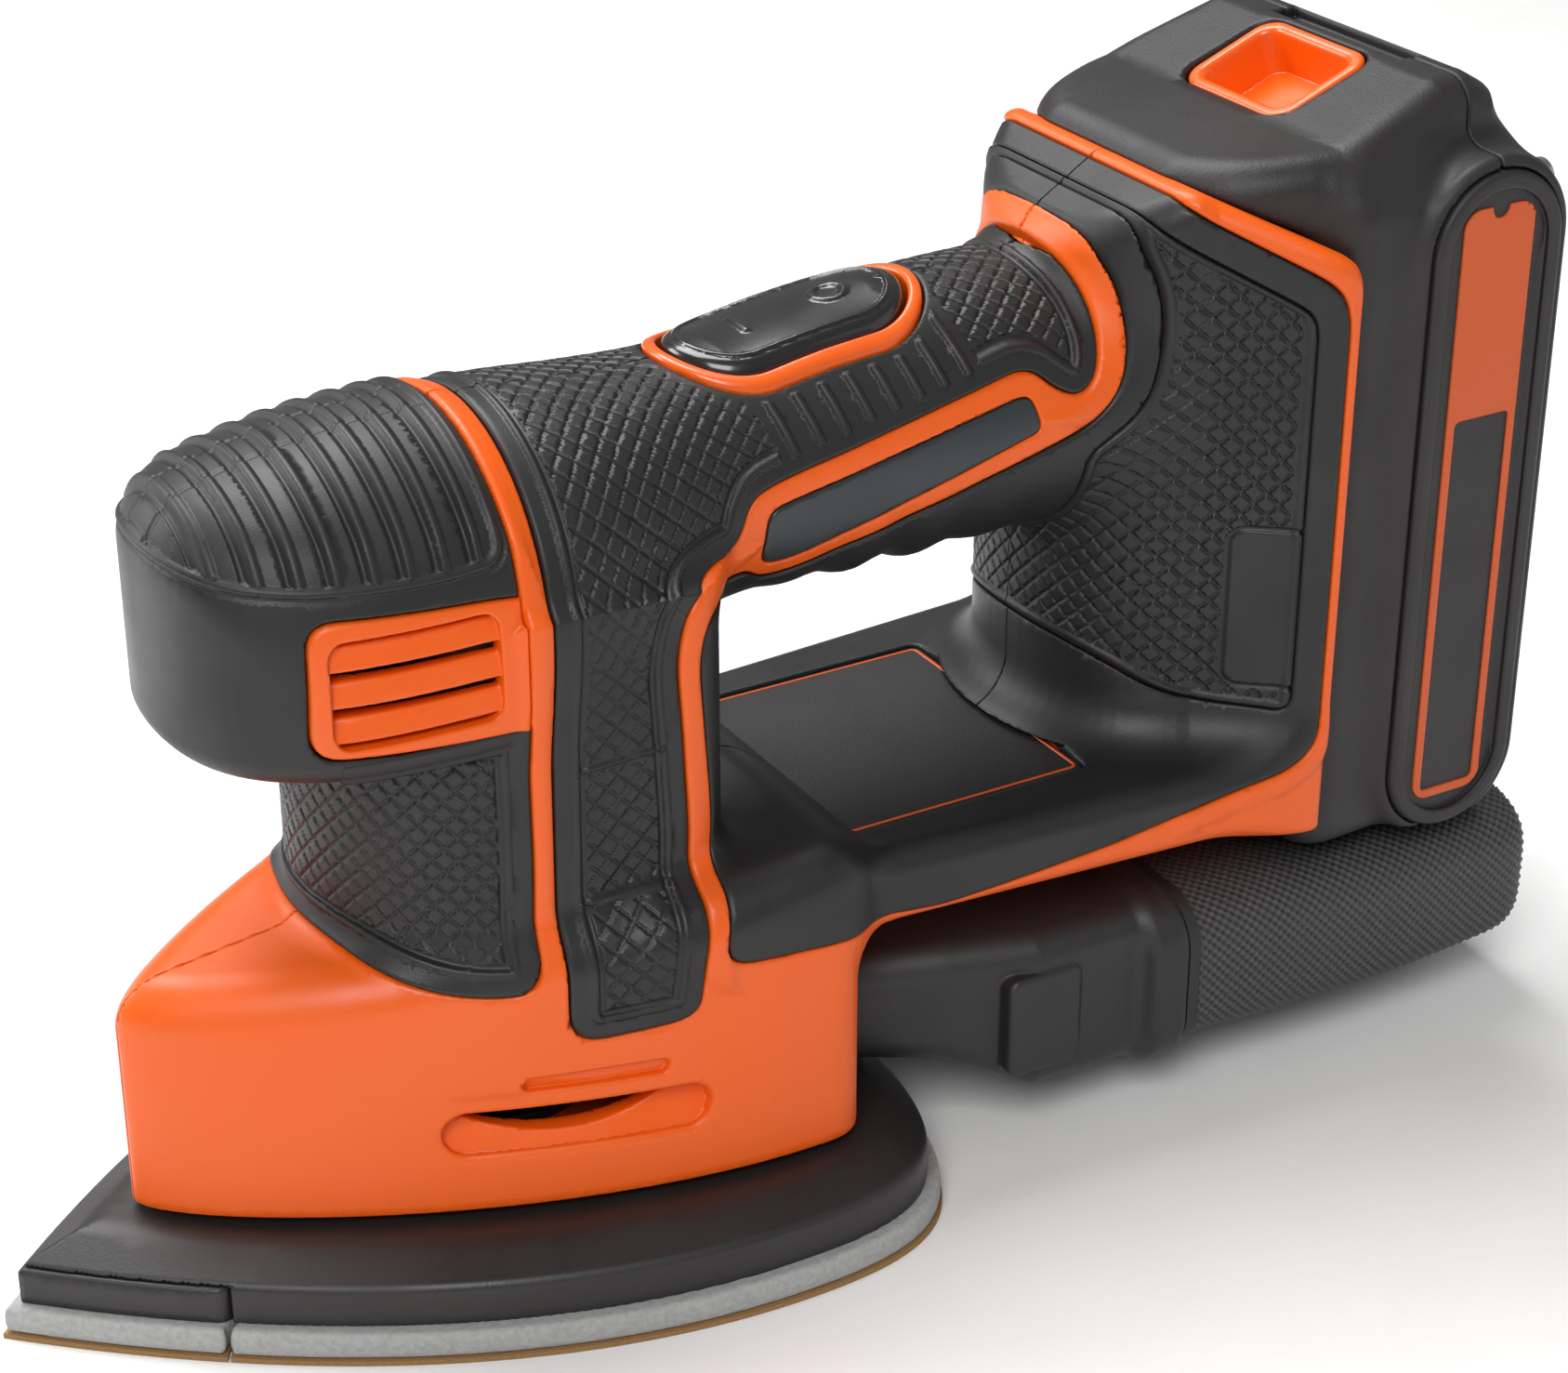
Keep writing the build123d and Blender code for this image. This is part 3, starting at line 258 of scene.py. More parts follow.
COLUMN_PANEL = softened([
    (84, 81, 0), (101.5, 73.5, 5), (112, 66.2, 6), (128.6, 65.0, 4), (128.4, 128.4, 3),
    (113.6, 138.0, 3), (108.5, 141.5, 3), (102, 150, 0), (98, 150, 0), (98, 96, 4), (94, 90, 3),
    (84, 89.5, 0)])
VENT_OUTLINE = softened([(-26.8, 92.6, 4), (-26.0, 111.8, 4), (0.0, 110.8, 4), (9, 109.6, 0),
                         (9, 91, 0), (-1.0, 91.4, 4)])
CROWN_EDGE = softened([(-60, 119, 0), (-41, 118.4, 0), (-36, 116.6, 4), (-24, 115.3, 6),
                       (-8, 114.9, 6), (1.2, 115.6, 3), (1.6, 150, 0), (-60, 150, 0)])
ROCKER_SLOPE = math.radians(5.5)
BUTTON_SLOPE = math.radians(22)
PROUD = 0.35
SEAM = 0.14
RECESS = 1.6
SHELL = 2.4


def checks(u, v, pitch):
    """Raised checks between crossed grooves, from 0 in a groove to 1 on a check."""
    a = np.abs(np.mod((u + v) / pitch, 1) - 0.5) * 2
    b = np.abs(np.mod((u - v) / pitch, 1) - 0.5) * 2
    return np.clip((1 - np.maximum(a, b)) * 3.2, 0, 1)


def ridge(distance, width, height):
    """A round-topped ridge, or a groove where the height is negative."""
    return height * np.clip(1 - (distance / width) ** 2, 0, 1)


def stadium(u, v, half_length, half_width):
    """Distance to a round-ended bar along u."""
    return np.hypot(np.maximum(np.abs(u) - half_length + half_width, 0), v) - half_width


def brick(x, y, z, low, high, radius=0.0):
    """Distance to a box between two corners, its edges rounded."""
    spans = [np.abs(v - (a + b) / 2) - (b - a) / 2 for v, a, b in zip((x, y, z), low, high)]
    return rounded_max(rounded_max(spans[0], spans[1], radius), spans[2], radius)


def panel(u, v, half_u, half_v, corner):
    """Distance to a rectangle with round corners."""
    du = np.abs(u) - half_u + corner
    dv = np.abs(v) - half_v + corner
    return np.hypot(np.maximum(du, 0), np.maximum(dv, 0)) + np.minimum(np.maximum(du, dv), 0) - corner


def rocker_frame(x, z):
    """Distances along and above the switch's tilt axis, which follows the handle's slope."""
    return ((x - 59) * math.cos(ROCKER_SLOPE) + (z - 124) * math.sin(ROCKER_SLOPE),
            (z - 124) * math.cos(ROCKER_SLOPE) - (x - 59) * math.sin(ROCKER_SLOPE))


def button_frame(x, z):
    """Distances along and above the battery button's slope."""
    return ((x - 144) * math.cos(BUTTON_SLOPE) + (z - 153.5) * math.sin(BUTTON_SLOPE),
            (z - 153.5) * math.cos(BUTTON_SLOPE) - (x - 144) * math.sin(BUTTON_SLOPE))


def handle_wrap(x, y, z):
    """Distance round the handle from its crest, so that its texture isn't stretched."""
    middle = along(x, (4, 40, 80, 110), (101, 109.7, 112.2, 112.4))
    return 22.0 * np.arctan2(np.abs(y), z - middle)


def grip_relief(x, y, z, zone):
    """The handle overmould's relief: a border line, cross lines, side ribs and checks."""
    border = ridge(zone + 3.4, 0.6, 0.4) + ridge(zone + 4.4, 0.55, -0.4)
    cross = np.minimum(np.abs(z - 82.5 - 0.04 * x), np.abs(z - 62.0 - 0.04 * x))
    cross = np.where(z < 96, cross, 9)
    u = rocker_frame(x, z)[0]
    near_ribs = rounded_max(np.abs(x - 65 + (z - 118) * 0.3) - 17.5, 103.8 + 0.19 * x - z, 1)
    ribs = ridge(np.mod(x - 47.5 + (z - 118) * 0.3, 4.4) - 2.2, 0.85, 0.55)
    level = np.where(z < 98, z, handle_wrap(x, y, z))
    textured = (zone < -5.0) & (near_ribs > 0.6) & (cross > 0.9)
    relief = np.where(textured, -0.34 * (1 - checks(x, level, 3.6)), 0)
    relief = relief + np.where((near_ribs < 0) & (zone < -2.6), ribs, 0)
    relief = relief + np.where(zone < -3.4, ridge(cross, 0.5, 0.35), 0)
    ring = stadium(u, y, 22.6, 14.1)
    relief = relief * np.clip(ring / 0.6, 0, 1)
    return relief + np.where(near_ribs > 0.4, border, 0)


def neck_relief(x, y, z, zone):
    """The neck's relief: a border line and checks wrapped round it."""
    wrap = 28.0 * np.arctan2(np.abs(y), 8 - x)
    textured = (zone < -5.0) & (z < 90)
    relief = np.where(textured, -0.34 * (1 - checks(wrap, z, 3.6)), 0)
    return relief + ridge(zone + 3.6, 0.6, 0.4) + ridge(zone + 4.5, 0.55, -0.4)


def column_relief(x, y, z, zone):
    """The column panel's relief: a lip along its edge, checks and a blank plate."""
    wrap = np.hypot(x - 99, y)
    plate = panel(x - 123.2, z - 82, 4.6, 12.5, 2)
    textured = (zone < -1.9) & (plate > 1.0)
    relief = np.where(textured, -0.36 * (1 - checks(wrap, z, 3.6)), 0)
    return relief + ridge(zone + 0.9, 0.7, 0.35) + ridge(plate - 0.5, 0.5, -0.4)


def overmould(x, y, z, zone, relief=0.0, depth=RECESS, edge=0.7, proud=PROUD):
    """A soft skin over one zone, standing a little proud of the shell."""
    form = tool_form(x, y, z)
    skin = rounded_max(zone + SEAM, form - proud - relief, edge)
    return rounded_max(skin, -(form + depth - 0.08), 0.2)


def switch_room(x, y, z, grow):
    """The space of the switch and its surround, seen from above, down to its seat."""
    u, above = rocker_frame(x, z)
    return np.maximum(stadium(u, y, 18.5 + grow, 10.0 + grow), -2.5 - above)


def left_half(form, y, gap=0.02, edge=0.16):
    """The share of a form on the left of the parting plane."""
    return rounded_max(form, y + gap, edge)


def handle_grip(x, y, z):
    zone = outline_distance(GRIP_ZONE, x, z)
    form = overmould(x, y, z, zone, grip_relief(x, y, z, zone))
    return left_half(rounded_max(form, -switch_room(x, y, z, 2.9), 0.6), y)


def column_zone(x, z):
    """The textured panel in the loop's overmould."""
    zone = outline_distance(COLUMN_PANEL, x, z)
    return rounded_max(zone, outline_distance(LOOP_ZONE, x, z) + 4.4, 2)


def loop_cover(x, y, z):
    form = overmould(x, y, z, outline_distance(LOOP_ZONE, x, z))
    inlay = np.maximum(panel(x - 75.95, y, 21.75, 24.2, 1.5), 55 - z)
    inlay = np.maximum(inlay, z - 58.7)
    form = rounded_max(form, -inlay, 0.5)
    return left_half(rounded_max(form, -(column_zone(x, z)), 0.5), y)


def rear_grip(x, y, z):
    zone = column_zone(x, z)
    return left_half(overmould(x, y, z, zone, column_relief(x, y, z, zone), edge=0.5), y)


def neck_grip(x, y, z):
    zone = rounded_max(outline_distance(NECK_ZONE, x, z), z - 92, 0.5)
    return overmould(x, y, z, zone, neck_relief(x, y, z, zone))


def badge_plate(x, y, z):
    zone = outline_distance(BADGE_RING, x, z) + 1.9
    return left_half(overmould(x, y, z, zone, depth=1.1, edge=0.4, proud=0.1), y + 6)


def side_vents(x, y, z):
    """The finger groove and the sloped cooling pocket in the skirt's side."""
    slot = stadium(x - 9.5, z - 36.4, 10.2, 1.1)
    floor = 1.0 + np.clip(z - 25.4, 0, 7) * 0.42
    return slot, stadium(x - 7.2, z - 28.9, 18.6, 3.5), floor


def cooling_mouth(x, z):
    """The crescent opening in the upper part of the cooling pocket."""
    belly = 31.3 - 3.9 * (1 - ((x - 5.6) / 15.2) ** 2)
    return np.maximum(np.maximum(z - 31.5, belly - z) * 0.9, np.abs(x - 5.6) - 15)


def housing_shell(x, y, z):
    """The left clamshell: walls with seats for the overmoulds and every opening."""
    body = tool_form(x, y, z)
    grip = outline_distance(GRIP_ZONE, x, z)
    loop = outline_distance(LOOP_ZONE, x, z)
    neck = rounded_max(outline_distance(NECK_ZONE, x, z), z - 92, 0.5)
    narrow = np.clip((5.2 - np.maximum(grip, loop)) / 1.6, 0, 1)
    band = np.clip((4.6 - np.maximum(grip, x - 2)) / 1.6, 0, 1) * (z > 54) * (x < 9)
    rim = np.clip((4.2 - np.maximum(loop, 0)) / 1.4, 0, 1) * np.clip((x - 105) / 4, 0, 1)
    raised = 0.6 * np.maximum(np.maximum(narrow, band * (z > 60)), rim)
    form = body - raised
    slot, pocket, floor = side_vents(x, y, z)
    form = rounded_max(form, -np.maximum(slot, -(body + 1.3)), 0.6)
    form = rounded_max(form, -np.maximum(pocket, -(body + floor)), 0.8)
    zones = np.minimum(np.minimum(grip, loop), neck)
    form = rounded_max(form, -np.maximum(zones, -(body + RECESS)), 0.55)
    badge = outline_distance(BADGE_RING, x, z) + 1.9
    form = rounded_max(form, -np.maximum(badge, -(body + 1.1)), 0.45)
    form = rounded_max(form, -switch_room(x, y, z, 2.9), 0.3)
    form = rounded_max(form, -np.maximum(x - 2.9, 86.5 - z), 0.5)
    deeper = 1.7 * np.clip((2.6 - zones) / 1.2, 0, 1)
    deeper = np.maximum(deeper, 2.6 * np.clip((3.2 - np.minimum(pocket, slot)) / 1.2, 0, 1))
    form = rounded_max(form, -(body + SHELL + deeper), 0.3)
    outlet = np.maximum(panel(y, z - 25.5, 19.3, 7.3, 3.3), 44 - x)
    form = rounded_max(form, -outlet, 0.3)
    form = rounded_max(form, -np.maximum(cooling_mouth(x, z), 20 + y), 0.3)
    form = np.maximum(form, -brick(x, y, z, (128, -15, 72), (140, 15, 98)))
    form = np.maximum(form, -brick(x, y, z, (119.4, -6.4, 134), (128.4, 6.4, 150)))
    rail = np.minimum(brick(x, y, z, (131, -22, 66), (137, -18, 124), 0.4),
                      brick(x, y, z, (135, -24, 66), (137, -16, 124), 0.4))
    return left_half(np.minimum(form, rail), y)


def nose_cap(x, y, z):
    """The palm cap: a ribbed crown over plain cheeks, open where the vents sit."""
    body = tool_form(x, y, z)
    crown = outline_distance(CROWN_EDGE, x, z)
    facet = np.abs(np.abs(y) - 3.4)
    phase = np.mod(x + 36.4, 4.75)
    rib = ridge(phase - 1.1, 0.9, 0.5) + ridge(phase, 0.7, -0.5) + ridge(phase - 4.75, 0.7, -0.5)
    rib = rib + ridge(facet, 0.5, -0.16)
    relief = np.where(crown < -0.9, rib, 0)
    relief = relief + ridge(crown + 0.2, 0.75, 0.5) + ridge(crown - 0.8, 0.5, -0.25)
    form = rounded_max(body - 0.1 - relief, -(body + SHELL), 0.2)
    form = rounded_max(form, x - 2.75, 0.7)
    form = rounded_max(form, 88.05 - z, 0.4)
    vent = np.maximum(outline_distance(VENT_OUTLINE, x, z) - 0.2, 14 - np.abs(y))
    return rounded_max(form, -vent, 0.5)


def nose_vent(x, y, z):
    """A vent insert: a rounded frame round three sloping louvres."""
    body = tool_form(x, y, z)
    zone = outline_distance(VENT_OUTLINE, x, z)
    zone = rounded_max(zone, x - 2.95, 0.2)
    form = rounded_max(zone + 0.1, body - 0.45, 0.8)
    level = z - 101.8 - 0.02 * x
    window = panel(x + 12.2, level, 11.6, 7.7, 2.4)
    fin = np.abs(np.mod(level + 7.7, 5.15) - 2.575) - 1.7
    fin = rounded_max(fin, body + 0.9 + 0.35 * (np.mod(level + 7.7, 5.15) - 2.575), 0.5)
    opening = rounded_max(window, -fin, 0.3)
    form = rounded_max(form, -np.maximum(opening, -(body + 5)), 0.35)
    return rounded_max(form, -(body + 4.2), 0.2)


def bar_inlay(x, y, z):
    tile = panel(x - 75.95, y, 21.5, 23.9, 1.3)
    return rounded_max(rounded_max(tile, z - 58.0, 0.4), 56.8 - z, 0.1)


def inlay_line(x, y, z):
    tile = np.abs(panel(x - 75.95, y, 20.6, 23.0, 1.0)) - 0.28
    return rounded_max(rounded_max(tile, z - 58.12, 0.1), 57.6 - z, 0.05)


# ------------------------------------------------------------------ switch
def switch_surround(x, y, z):
    u, above = rocker_frame(x, z)
    ring = rounded_max(stadium(u, y, 21.2, 12.7), -stadium(u, y, 19.2, 10.7), 0.2)
    lid = tool_form(x, y, z) - 1.0
    return rounded_max(rounded_max(ring, lid, 0.75), -1.5 - above, 0.2)


def switch_rocker(x, y, z):
    """The rocker cap: a long dished pill with a raised bar and ring, the I and O signs."""
    u, above = rocker_frame(x, z)
    plan = stadium(u, y, 18.6, 10.1)
    dish = 0.8 * np.clip(1 - (u / 13) ** 2, 0, 1) * np.clip(1 - (y / 8) ** 2, 0, 1)
    end_tilt = 0.012 * np.abs(u) ** 1.5 * 0.25
    bar = panel(u + 7.2, y, 0.55, 2.9, 0.5)
    ring = np.abs(np.hypot(u - 7.6, y) - 2.4) - 0.55
    signs = 0.4 * np.clip(0.5 - np.minimum(bar, ring) / 0.6, 0, 1)
    frame = ridge(stadium(u, y, 16.4, 7.9), 0.5, 0.3)
    top = tool_form(x, y, z) - 1.1 - end_tilt + dish - signs - frame
    return rounded_max(rounded_max(plan, top, 1.6), 1.2 - above, 0.3)


# ------------------------------------------------------------------ sanding head
PAD_OUTLINE = both_sides(
    bezier([(-70, 0), (-17.25, 50), (35.5, 50)], 30)
    + bezier([(35.5, 50), (62.93, 50), (70, 39.75), (70, 0)], 30) + [(70, 0)])
TIP_OUTLINE = both_sides([(-90, 0), (-90, 26), (-47.5, 26.4), (-43.5, 19.6), (-17, 0)])


def pad_distance(x, y):
    return outline_distance(PAD_OUTLINE, x, y)


def tip_distance(x, y):
    return outline_distance(TIP_OUTLINE, x, y)


def platen(x, y, z):
    """The plate: a stepped rim and a sloping top that falls to it, a hub, and screw bosses."""
    edge = pad_distance(x, y) + 2.4
    slope = (z - 11.2 + np.maximum(edge, -9) * 0.52) * 0.9
    plate = rounded_max(edge, rounded_max(z - 14.8, slope, 0.8), 0.9)
    plate = rounded_max(plate, 5.0 - z, 0.3)
    notch = np.maximum(tip_distance(x, y) - 0.4, z - 11.0)
    plate = rounded_max(plate, -notch, 0.4)
    hub = rounded_max(np.hypot(x - 9, y) - 14, np.abs(z - 15) - 5, 0.5)
    form = np.minimum(plate, hub)
    form = np.maximum(form, -np.maximum(np.hypot(x - 9, y) - 11.05, 12.4 - z))
    for px, py in ((-22, 11), (-22, -11), (38, 22), (38, -22)):
        form = np.maximum(form, -np.maximum(np.hypot(x - px, y - py) - 3.2, z - 9))
        form = np.maximum(form, -np.maximum(np.hypot(x - px, y - py) - 1.6, z - 20))
    return form


def detail_tip(x, y, z):
    """The turnable tip holder under the plate's nose."""
    edge = pad_distance(x, y) + 2.1
    plan = rounded_max(edge, tip_distance(x, y), 1.6)
    return rounded_max(rounded_max(plan, z - 10.8, 0.7), 5.0 - z, 0.3)


def foam(x, y, z):
    plan = rounded_max(pad_distance(x, y) + 0.1, -(tip_distance(x, y) - 0.35), 0.7)
    bulge = 0.35 * np.clip(1 - ((z - 2.9) / 2.1) ** 2, 0, 1)
    return rounded_max(plan + 0.5 - bulge, np.abs(z - 2.9) - 2.1, 0.5)


def tip_foam(x, y, z):
    plan = rounded_max(pad_distance(x, y) + 0.1, tip_distance(x, y), 1.2)
    bulge = 0.35 * np.clip(1 - ((z - 2.9) / 2.1) ** 2, 0, 1)
    return rounded_max(plan + 0.5 - bulge, np.abs(z - 2.9) - 2.1, 0.5)


# ------------------------------------------------------------------ battery
PACK_PROFILE = [(100, 38), (100, 147.4), (112.6, 148.2), (134, 150.2), (152.5, 157), (159.5, 157),
                (166, 153.6), (172, 144), (172, 38)]
CROWN_PLAN = both_sides(softened(
    [(112, 0, 0), (112, 16, 2), (118, 25.5, 6), (133, 32.5, 8), (150, 30, 8), (164, 27.5, 6),
     (172, 22, 3), (172, 0, 0)], closed=False))


def battery_form(x, y, z):
    """The battery: a crown that leans over the housing on a tall block with side frames."""
    profile = outline_distance(PACK_PROFILE, x, z)
    side = np.abs(y)
    crown = rounded_max(profile, outline_distance(CROWN_PLAN, x, side), 5)
    underside = np.minimum(133.4 - x, (146.4 - 0.467 * (x - 112) - z) * 0.906)
    crown = rounded_max(crown, underside, 0.8)
    block = rounded_max(rounded_max(side - 34.6, np.abs(x - 152.7) - 19.3, 4),
                        np.abs(z - 91) - 53, 4)
    form = rounded_min(crown, block, 7)
    middle = stadium(z - 91.8, x - 158, 55.9, 14.0)
    frame = rounded_max(rounded_max(middle, side - 37.1, 1.6), 24 - side, 1)
    form = rounded_min(form, frame, 2.5)
    form = rounded_max(form, np.maximum(38 - z, x - 172), 1.2)
    return form


def panel_seat(x, y, z):
    """The room in the battery's sides for the label panels."""
    return np.maximum(stadium(z - 91.8, x - 158, 54.15, 12.15), 35.8 - np.abs(y))


def crest_slot(x, y, z):
    return np.maximum(np.maximum(np.abs(x - 157.2) - 2.2, np.abs(y) - 15), 155.2 - z)


def pack_front(x, y, z):
    form = battery_form(x, y, z)
    form = rounded_max(form, -panel_seat(x, y, z), 0.4)
    u, above = button_frame(x, z)
    hole = np.maximum(panel(u, y, 9.75, 12.9, 4.4), -11 - above)
    form = rounded_max(form, -hole, 0.6)
    form = rounded_max(form, -crest_slot(x, y, z), 0.5)
    form = rounded_max(form, -(battery_form(x, y, z) + 2.2), 0.2)
    for sign in (-1, 1):
        form = np.minimum(form, brick(x, y - sign * 20, z, (133.4, -6.5, 42), (139.5, 6.5, 127), 0.4))
        form = np.maximum(form, -brick(x, y - sign * 20, z, (130, -2.4, 30), (137.4, 2.4, 124.4)))
        form = np.maximum(form, -brick(x, y - sign * 20, z, (134.9, -4.4, 30), (137.4, 4.4, 124.4)))
    for blade in (-9, 0, 9):
        form = np.maximum(form, -brick(x, y - blade, z, (130, -1.3, 30), (137, 1.3, 95.5)))
    form = np.maximum(form, -brick(x, y, z, (119.6, -6.4, 130), (128.4, 6.4, 145)))
    return rounded_max(form, x - 157.35, 0.45)


def pack_rear(x, y, z):
    form = battery_form(x, y, z)
    form = rounded_max(form, -panel_seat(x, y, z), 0.4)
    form = rounded_max(form, -crest_slot(x, y, z), 0.5)
    form = rounded_max(form, -(battery_form(x, y, z) + 2.2), 0.2)
    for dz in (44.5, 140.5):
        screw = np.hypot(np.abs(y) - 30, z - dz) - 3.1
        form = np.maximum(form, -np.maximum(screw, 169.5 - x))
    return rounded_max(form, 157.62 - x, 0.45)


def pack_panel(x, y, z):
    """A battery side panel: a round rim round a recessed label."""
    plan = stadium(z - 91.8, x - 158, 53.9, 11.9)
    form = rounded_max(plan, -y - 37.9, 0.9)
    inner = stadium(z - 91.8, x - 158, 51.2, 9.2)
    form = rounded_max(form, -np.maximum(inner, -(-y - 36.9)), 0.4)
    return rounded_max(form, 35.9 + y, 0.1)


def pack_label(x, y, z):
    """The label's coloured outline, broad at its top, left blank."""
    plan = panel(x - 158, z - 91.8, 6.7, 48.6, 3.0)
    hole = panel(x - 158, z - 76.0, 5.2, 31.3, 1.0)
    notch = np.hypot(x - 158, z - 140.2) - 1.6
    plan = rounded_max(rounded_max(plan, -hole, 0.1), -notch, 0.2)
    return rounded_max(rounded_max(plan, -y - 37.25, 0.1), 36.7 + y, 0.05)


def release_button(x, y, z):
    """The button: a tray whose floor falls away from its rim."""
    u, above = button_frame(x, z)
    form = rounded_max(panel(u, y, 9.35, 12.5, 4), above - 0.1, 0.8)
    depth = np.clip(-above, 0, 9)
    well = panel(u - 0.1 * depth, y, 7.3 - 0.3 * depth, 10.4 - 0.3 * depth, 2.6)
    form = rounded_max(form, -np.maximum(well, -6.4 - above), 0.7)
    return rounded_max(form, -8.0 - above, 0.2)


# ------------------------------------------------------------------ dust adaptor
def tube_section(x, y, z, stations, halves, bottoms, tops, corner):
    half = np.interp(x, stations, halves).astype(np.float32)
    bottom = np.interp(x, stations, bottoms).astype(np.float32)
    top = np.interp(x, stations, tops).astype(np.float32)
    return panel(y, z - (bottom + top) / 2, half, (top - bottom) / 2, corner)


def dust_adaptor(x, y, z):
    """The adaptor: a spigot, a wedge that opens downwards, and a round-edged flange."""
    stations = (52.4, 58, 70, 84, 103)
    wedge = tube_section(x, y, z, stations, (22, 24, 29, 34, 34.5), (17, 16.8, 15.6, 9, 9),
                         (35, 35.6, 36, 36.4, 36.4), 5)
    wedge = rounded_max(wedge * 0.93, np.maximum(52.4 - x, x - 105), 1.2)
    side = np.abs(y)
    cheek = rounded_max(panel(x - 84.5, z - 22.6, 6.6, 8.6, 2), side - 34.9, 1)
    wedge = rounded_min(wedge, rounded_max(cheek, 25 - side, 0.5), 0.4)
    flange = rounded_max(panel(y, z - 22, 37.6, 14.9, 9), np.abs(x - 106.4) - 3.5, 2.0)
    form = rounded_min(wedge, flange, 2.2)
    spigot = rounded_max(panel(y, z - 25.5, 18.9, 6.9, 3), np.abs(x - 50.5) - 3.5, 0.3)
    form = np.minimum(form, spigot)
    bore = tube_section(x, y, z, (46, 54, 70, 84, 111), (17, 17, 26, 31, 32),
                        (20.5, 20.5, 18.6, 12, 12), (30.5, 30.5, 33.5, 34, 34), 3)
    form = rounded_max(form, -bore, 0.3)
    return rounded_max(form, x - 109.95, 0.2)


# ------------------------------------------------------------------ meshes from forms
def scaled_step(step):
    """The sampling distance, coarser while trying things."""
    return step * bpy.context.scene.sander_sizes.coarseness * 1.0


def slope_of(form, points, reach):
    """A form's value and its slope at each point."""
    x, y, z = (points[:, i] for i in range(3))
    here = form(x, y, z)
    slopes = [(form(x + dx, y + dy, z + dz) - form(x - dx, y - dy, z - dz)) / (2 * reach)
              for dx, dy, dz in ((reach, 0, 0), (0, reach, 0), (0, 0, reach))]
    return here, np.stack(slopes, 1)


def surface(form, low, high, step, merge=0.015):
    """Points, faces and outward directions of a form's surface, in millimetres."""
    step = scaled_step(step)
    low = np.array(low, np.float32) - 2.37 * step
    counts = np.ceil((np.array(high, np.float32) + 2 * step - low) / step).astype(int) + 1
    x, y, z = (np.float32(low[i]) + np.float32(step) * np.arange(counts[i], dtype=np.float32)
               for i in range(3))
    field = form(x[:, None, None], y[None, :, None], z[None, None, :])
    field = np.clip(np.broadcast_to(field, tuple(counts)), -3 * step, 3 * step).astype(np.float32)
    for axis in range(3):
        ends = [slice(None)] * 3
        for end in (0, -1):
            ends[axis] = end
            field[tuple(ends)] = np.maximum(field[tuple(ends)], step)
    grid = openvdb.FloatGrid(3 * step)
    grid.copyFromArray(np.ascontiguousarray(field))
    points, triangles, quads = grid.convertToPolygons(0.0, merge)
    points = low + step * np.array(points, np.float32)
    for _ in range(2):
        value, slope = slope_of(form, points, 0.08)
        size = np.maximum((slope ** 2).sum(1), 0.2)
        move = np.clip(value / size, -0.6 * step, 0.6 * step)[:, None] * slope
        points = points - move
    slope = slope_of(form, points, 0.12)[1]
    normals = slope / np.maximum(np.linalg.norm(slope, axis=1, keepdims=True), 1e-6)
    return points, triangles, quads, normals


def piece(name, form, low, high, step, material, body, slot, nodes=(), mirrored=False):
    """Makes one visible piece from its form and ties it to the design."""
    points, triangles, quads, normals = surface(form, low, high, step)
    made = [build_mesh(name, points, triangles, quads, normals, material, body, nodes)]
    if mirrored:
        flip = np.array([1, -1, 1], np.float32)
        other = [n.replace("left", "right") for n in nodes]
        made.append(build_mesh(name.replace("left", "right"), points * flip, triangles[:, ::-1],
                               quads[:, ::-1], normals * flip, material, body, other))
    return made


def build_mesh(name, points, triangles, quads, normals, material, body, nodes):
    mesh = bpy.data.meshes.new(name)
    mesh.vertices.add(len(points))
    mesh.vertices.foreach_set("co", (points * MM).astype(np.float32).ravel())
    loops = np.concatenate([triangles.ravel(), quads.ravel()]).astype(np.int32)
    mesh.loops.add(len(loops))
    mesh.loops.foreach_set("vertex_index", loops)
    starts = np.concatenate([np.arange(len(triangles)) * 3,
                             3 * len(triangles) + np.arange(len(quads)) * 4]).astype(np.int32)
    mesh.polygons.add(len(starts))
    mesh.polygons.foreach_set("loop_start", starts)
    mesh.update(calc_edges=True)
    mesh.validate()
    mesh.shade_smooth()
    if len(mesh.vertices) == len(normals):
        mesh.normals_split_custom_set_from_vertices(normals.astype(np.float32))
    thing = bpy.data.objects.new(name, mesh)
    bpy.context.scene.collection.objects.link(thing)
    thing.data.materials.append(material)
    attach(thing, body)
    if nodes:
        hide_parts(*nodes)
    return thing


# ------------------------------------------------------------------ materials
def linear(hex_colour):
    """An sRGB hex colour as linear light."""
    parts = [int(hex_colour[i:i + 2], 16) / 255 for i in (1, 3, 5)]
    return tuple(c / 12.92 if c <= 0.04045 else ((c + 0.055) / 1.055) ** 2.4 for c in parts) + (1,)


def add_node(tree, kind, inputs=None, **settings):
    """Adds one node: its settings, then each input as a value or a link from an output."""
    made = tree.nodes.new(kind)
    for key, value in settings.items():
        setattr(made, key, value)
    for key, value in (inputs or {}).items():
        if isinstance(value, bpy.types.NodeSocket):
            tree.links.new(value, made.inputs[key])
        else:
            made.inputs[key].default_value = value
    return made


DRIFT_MM = 18


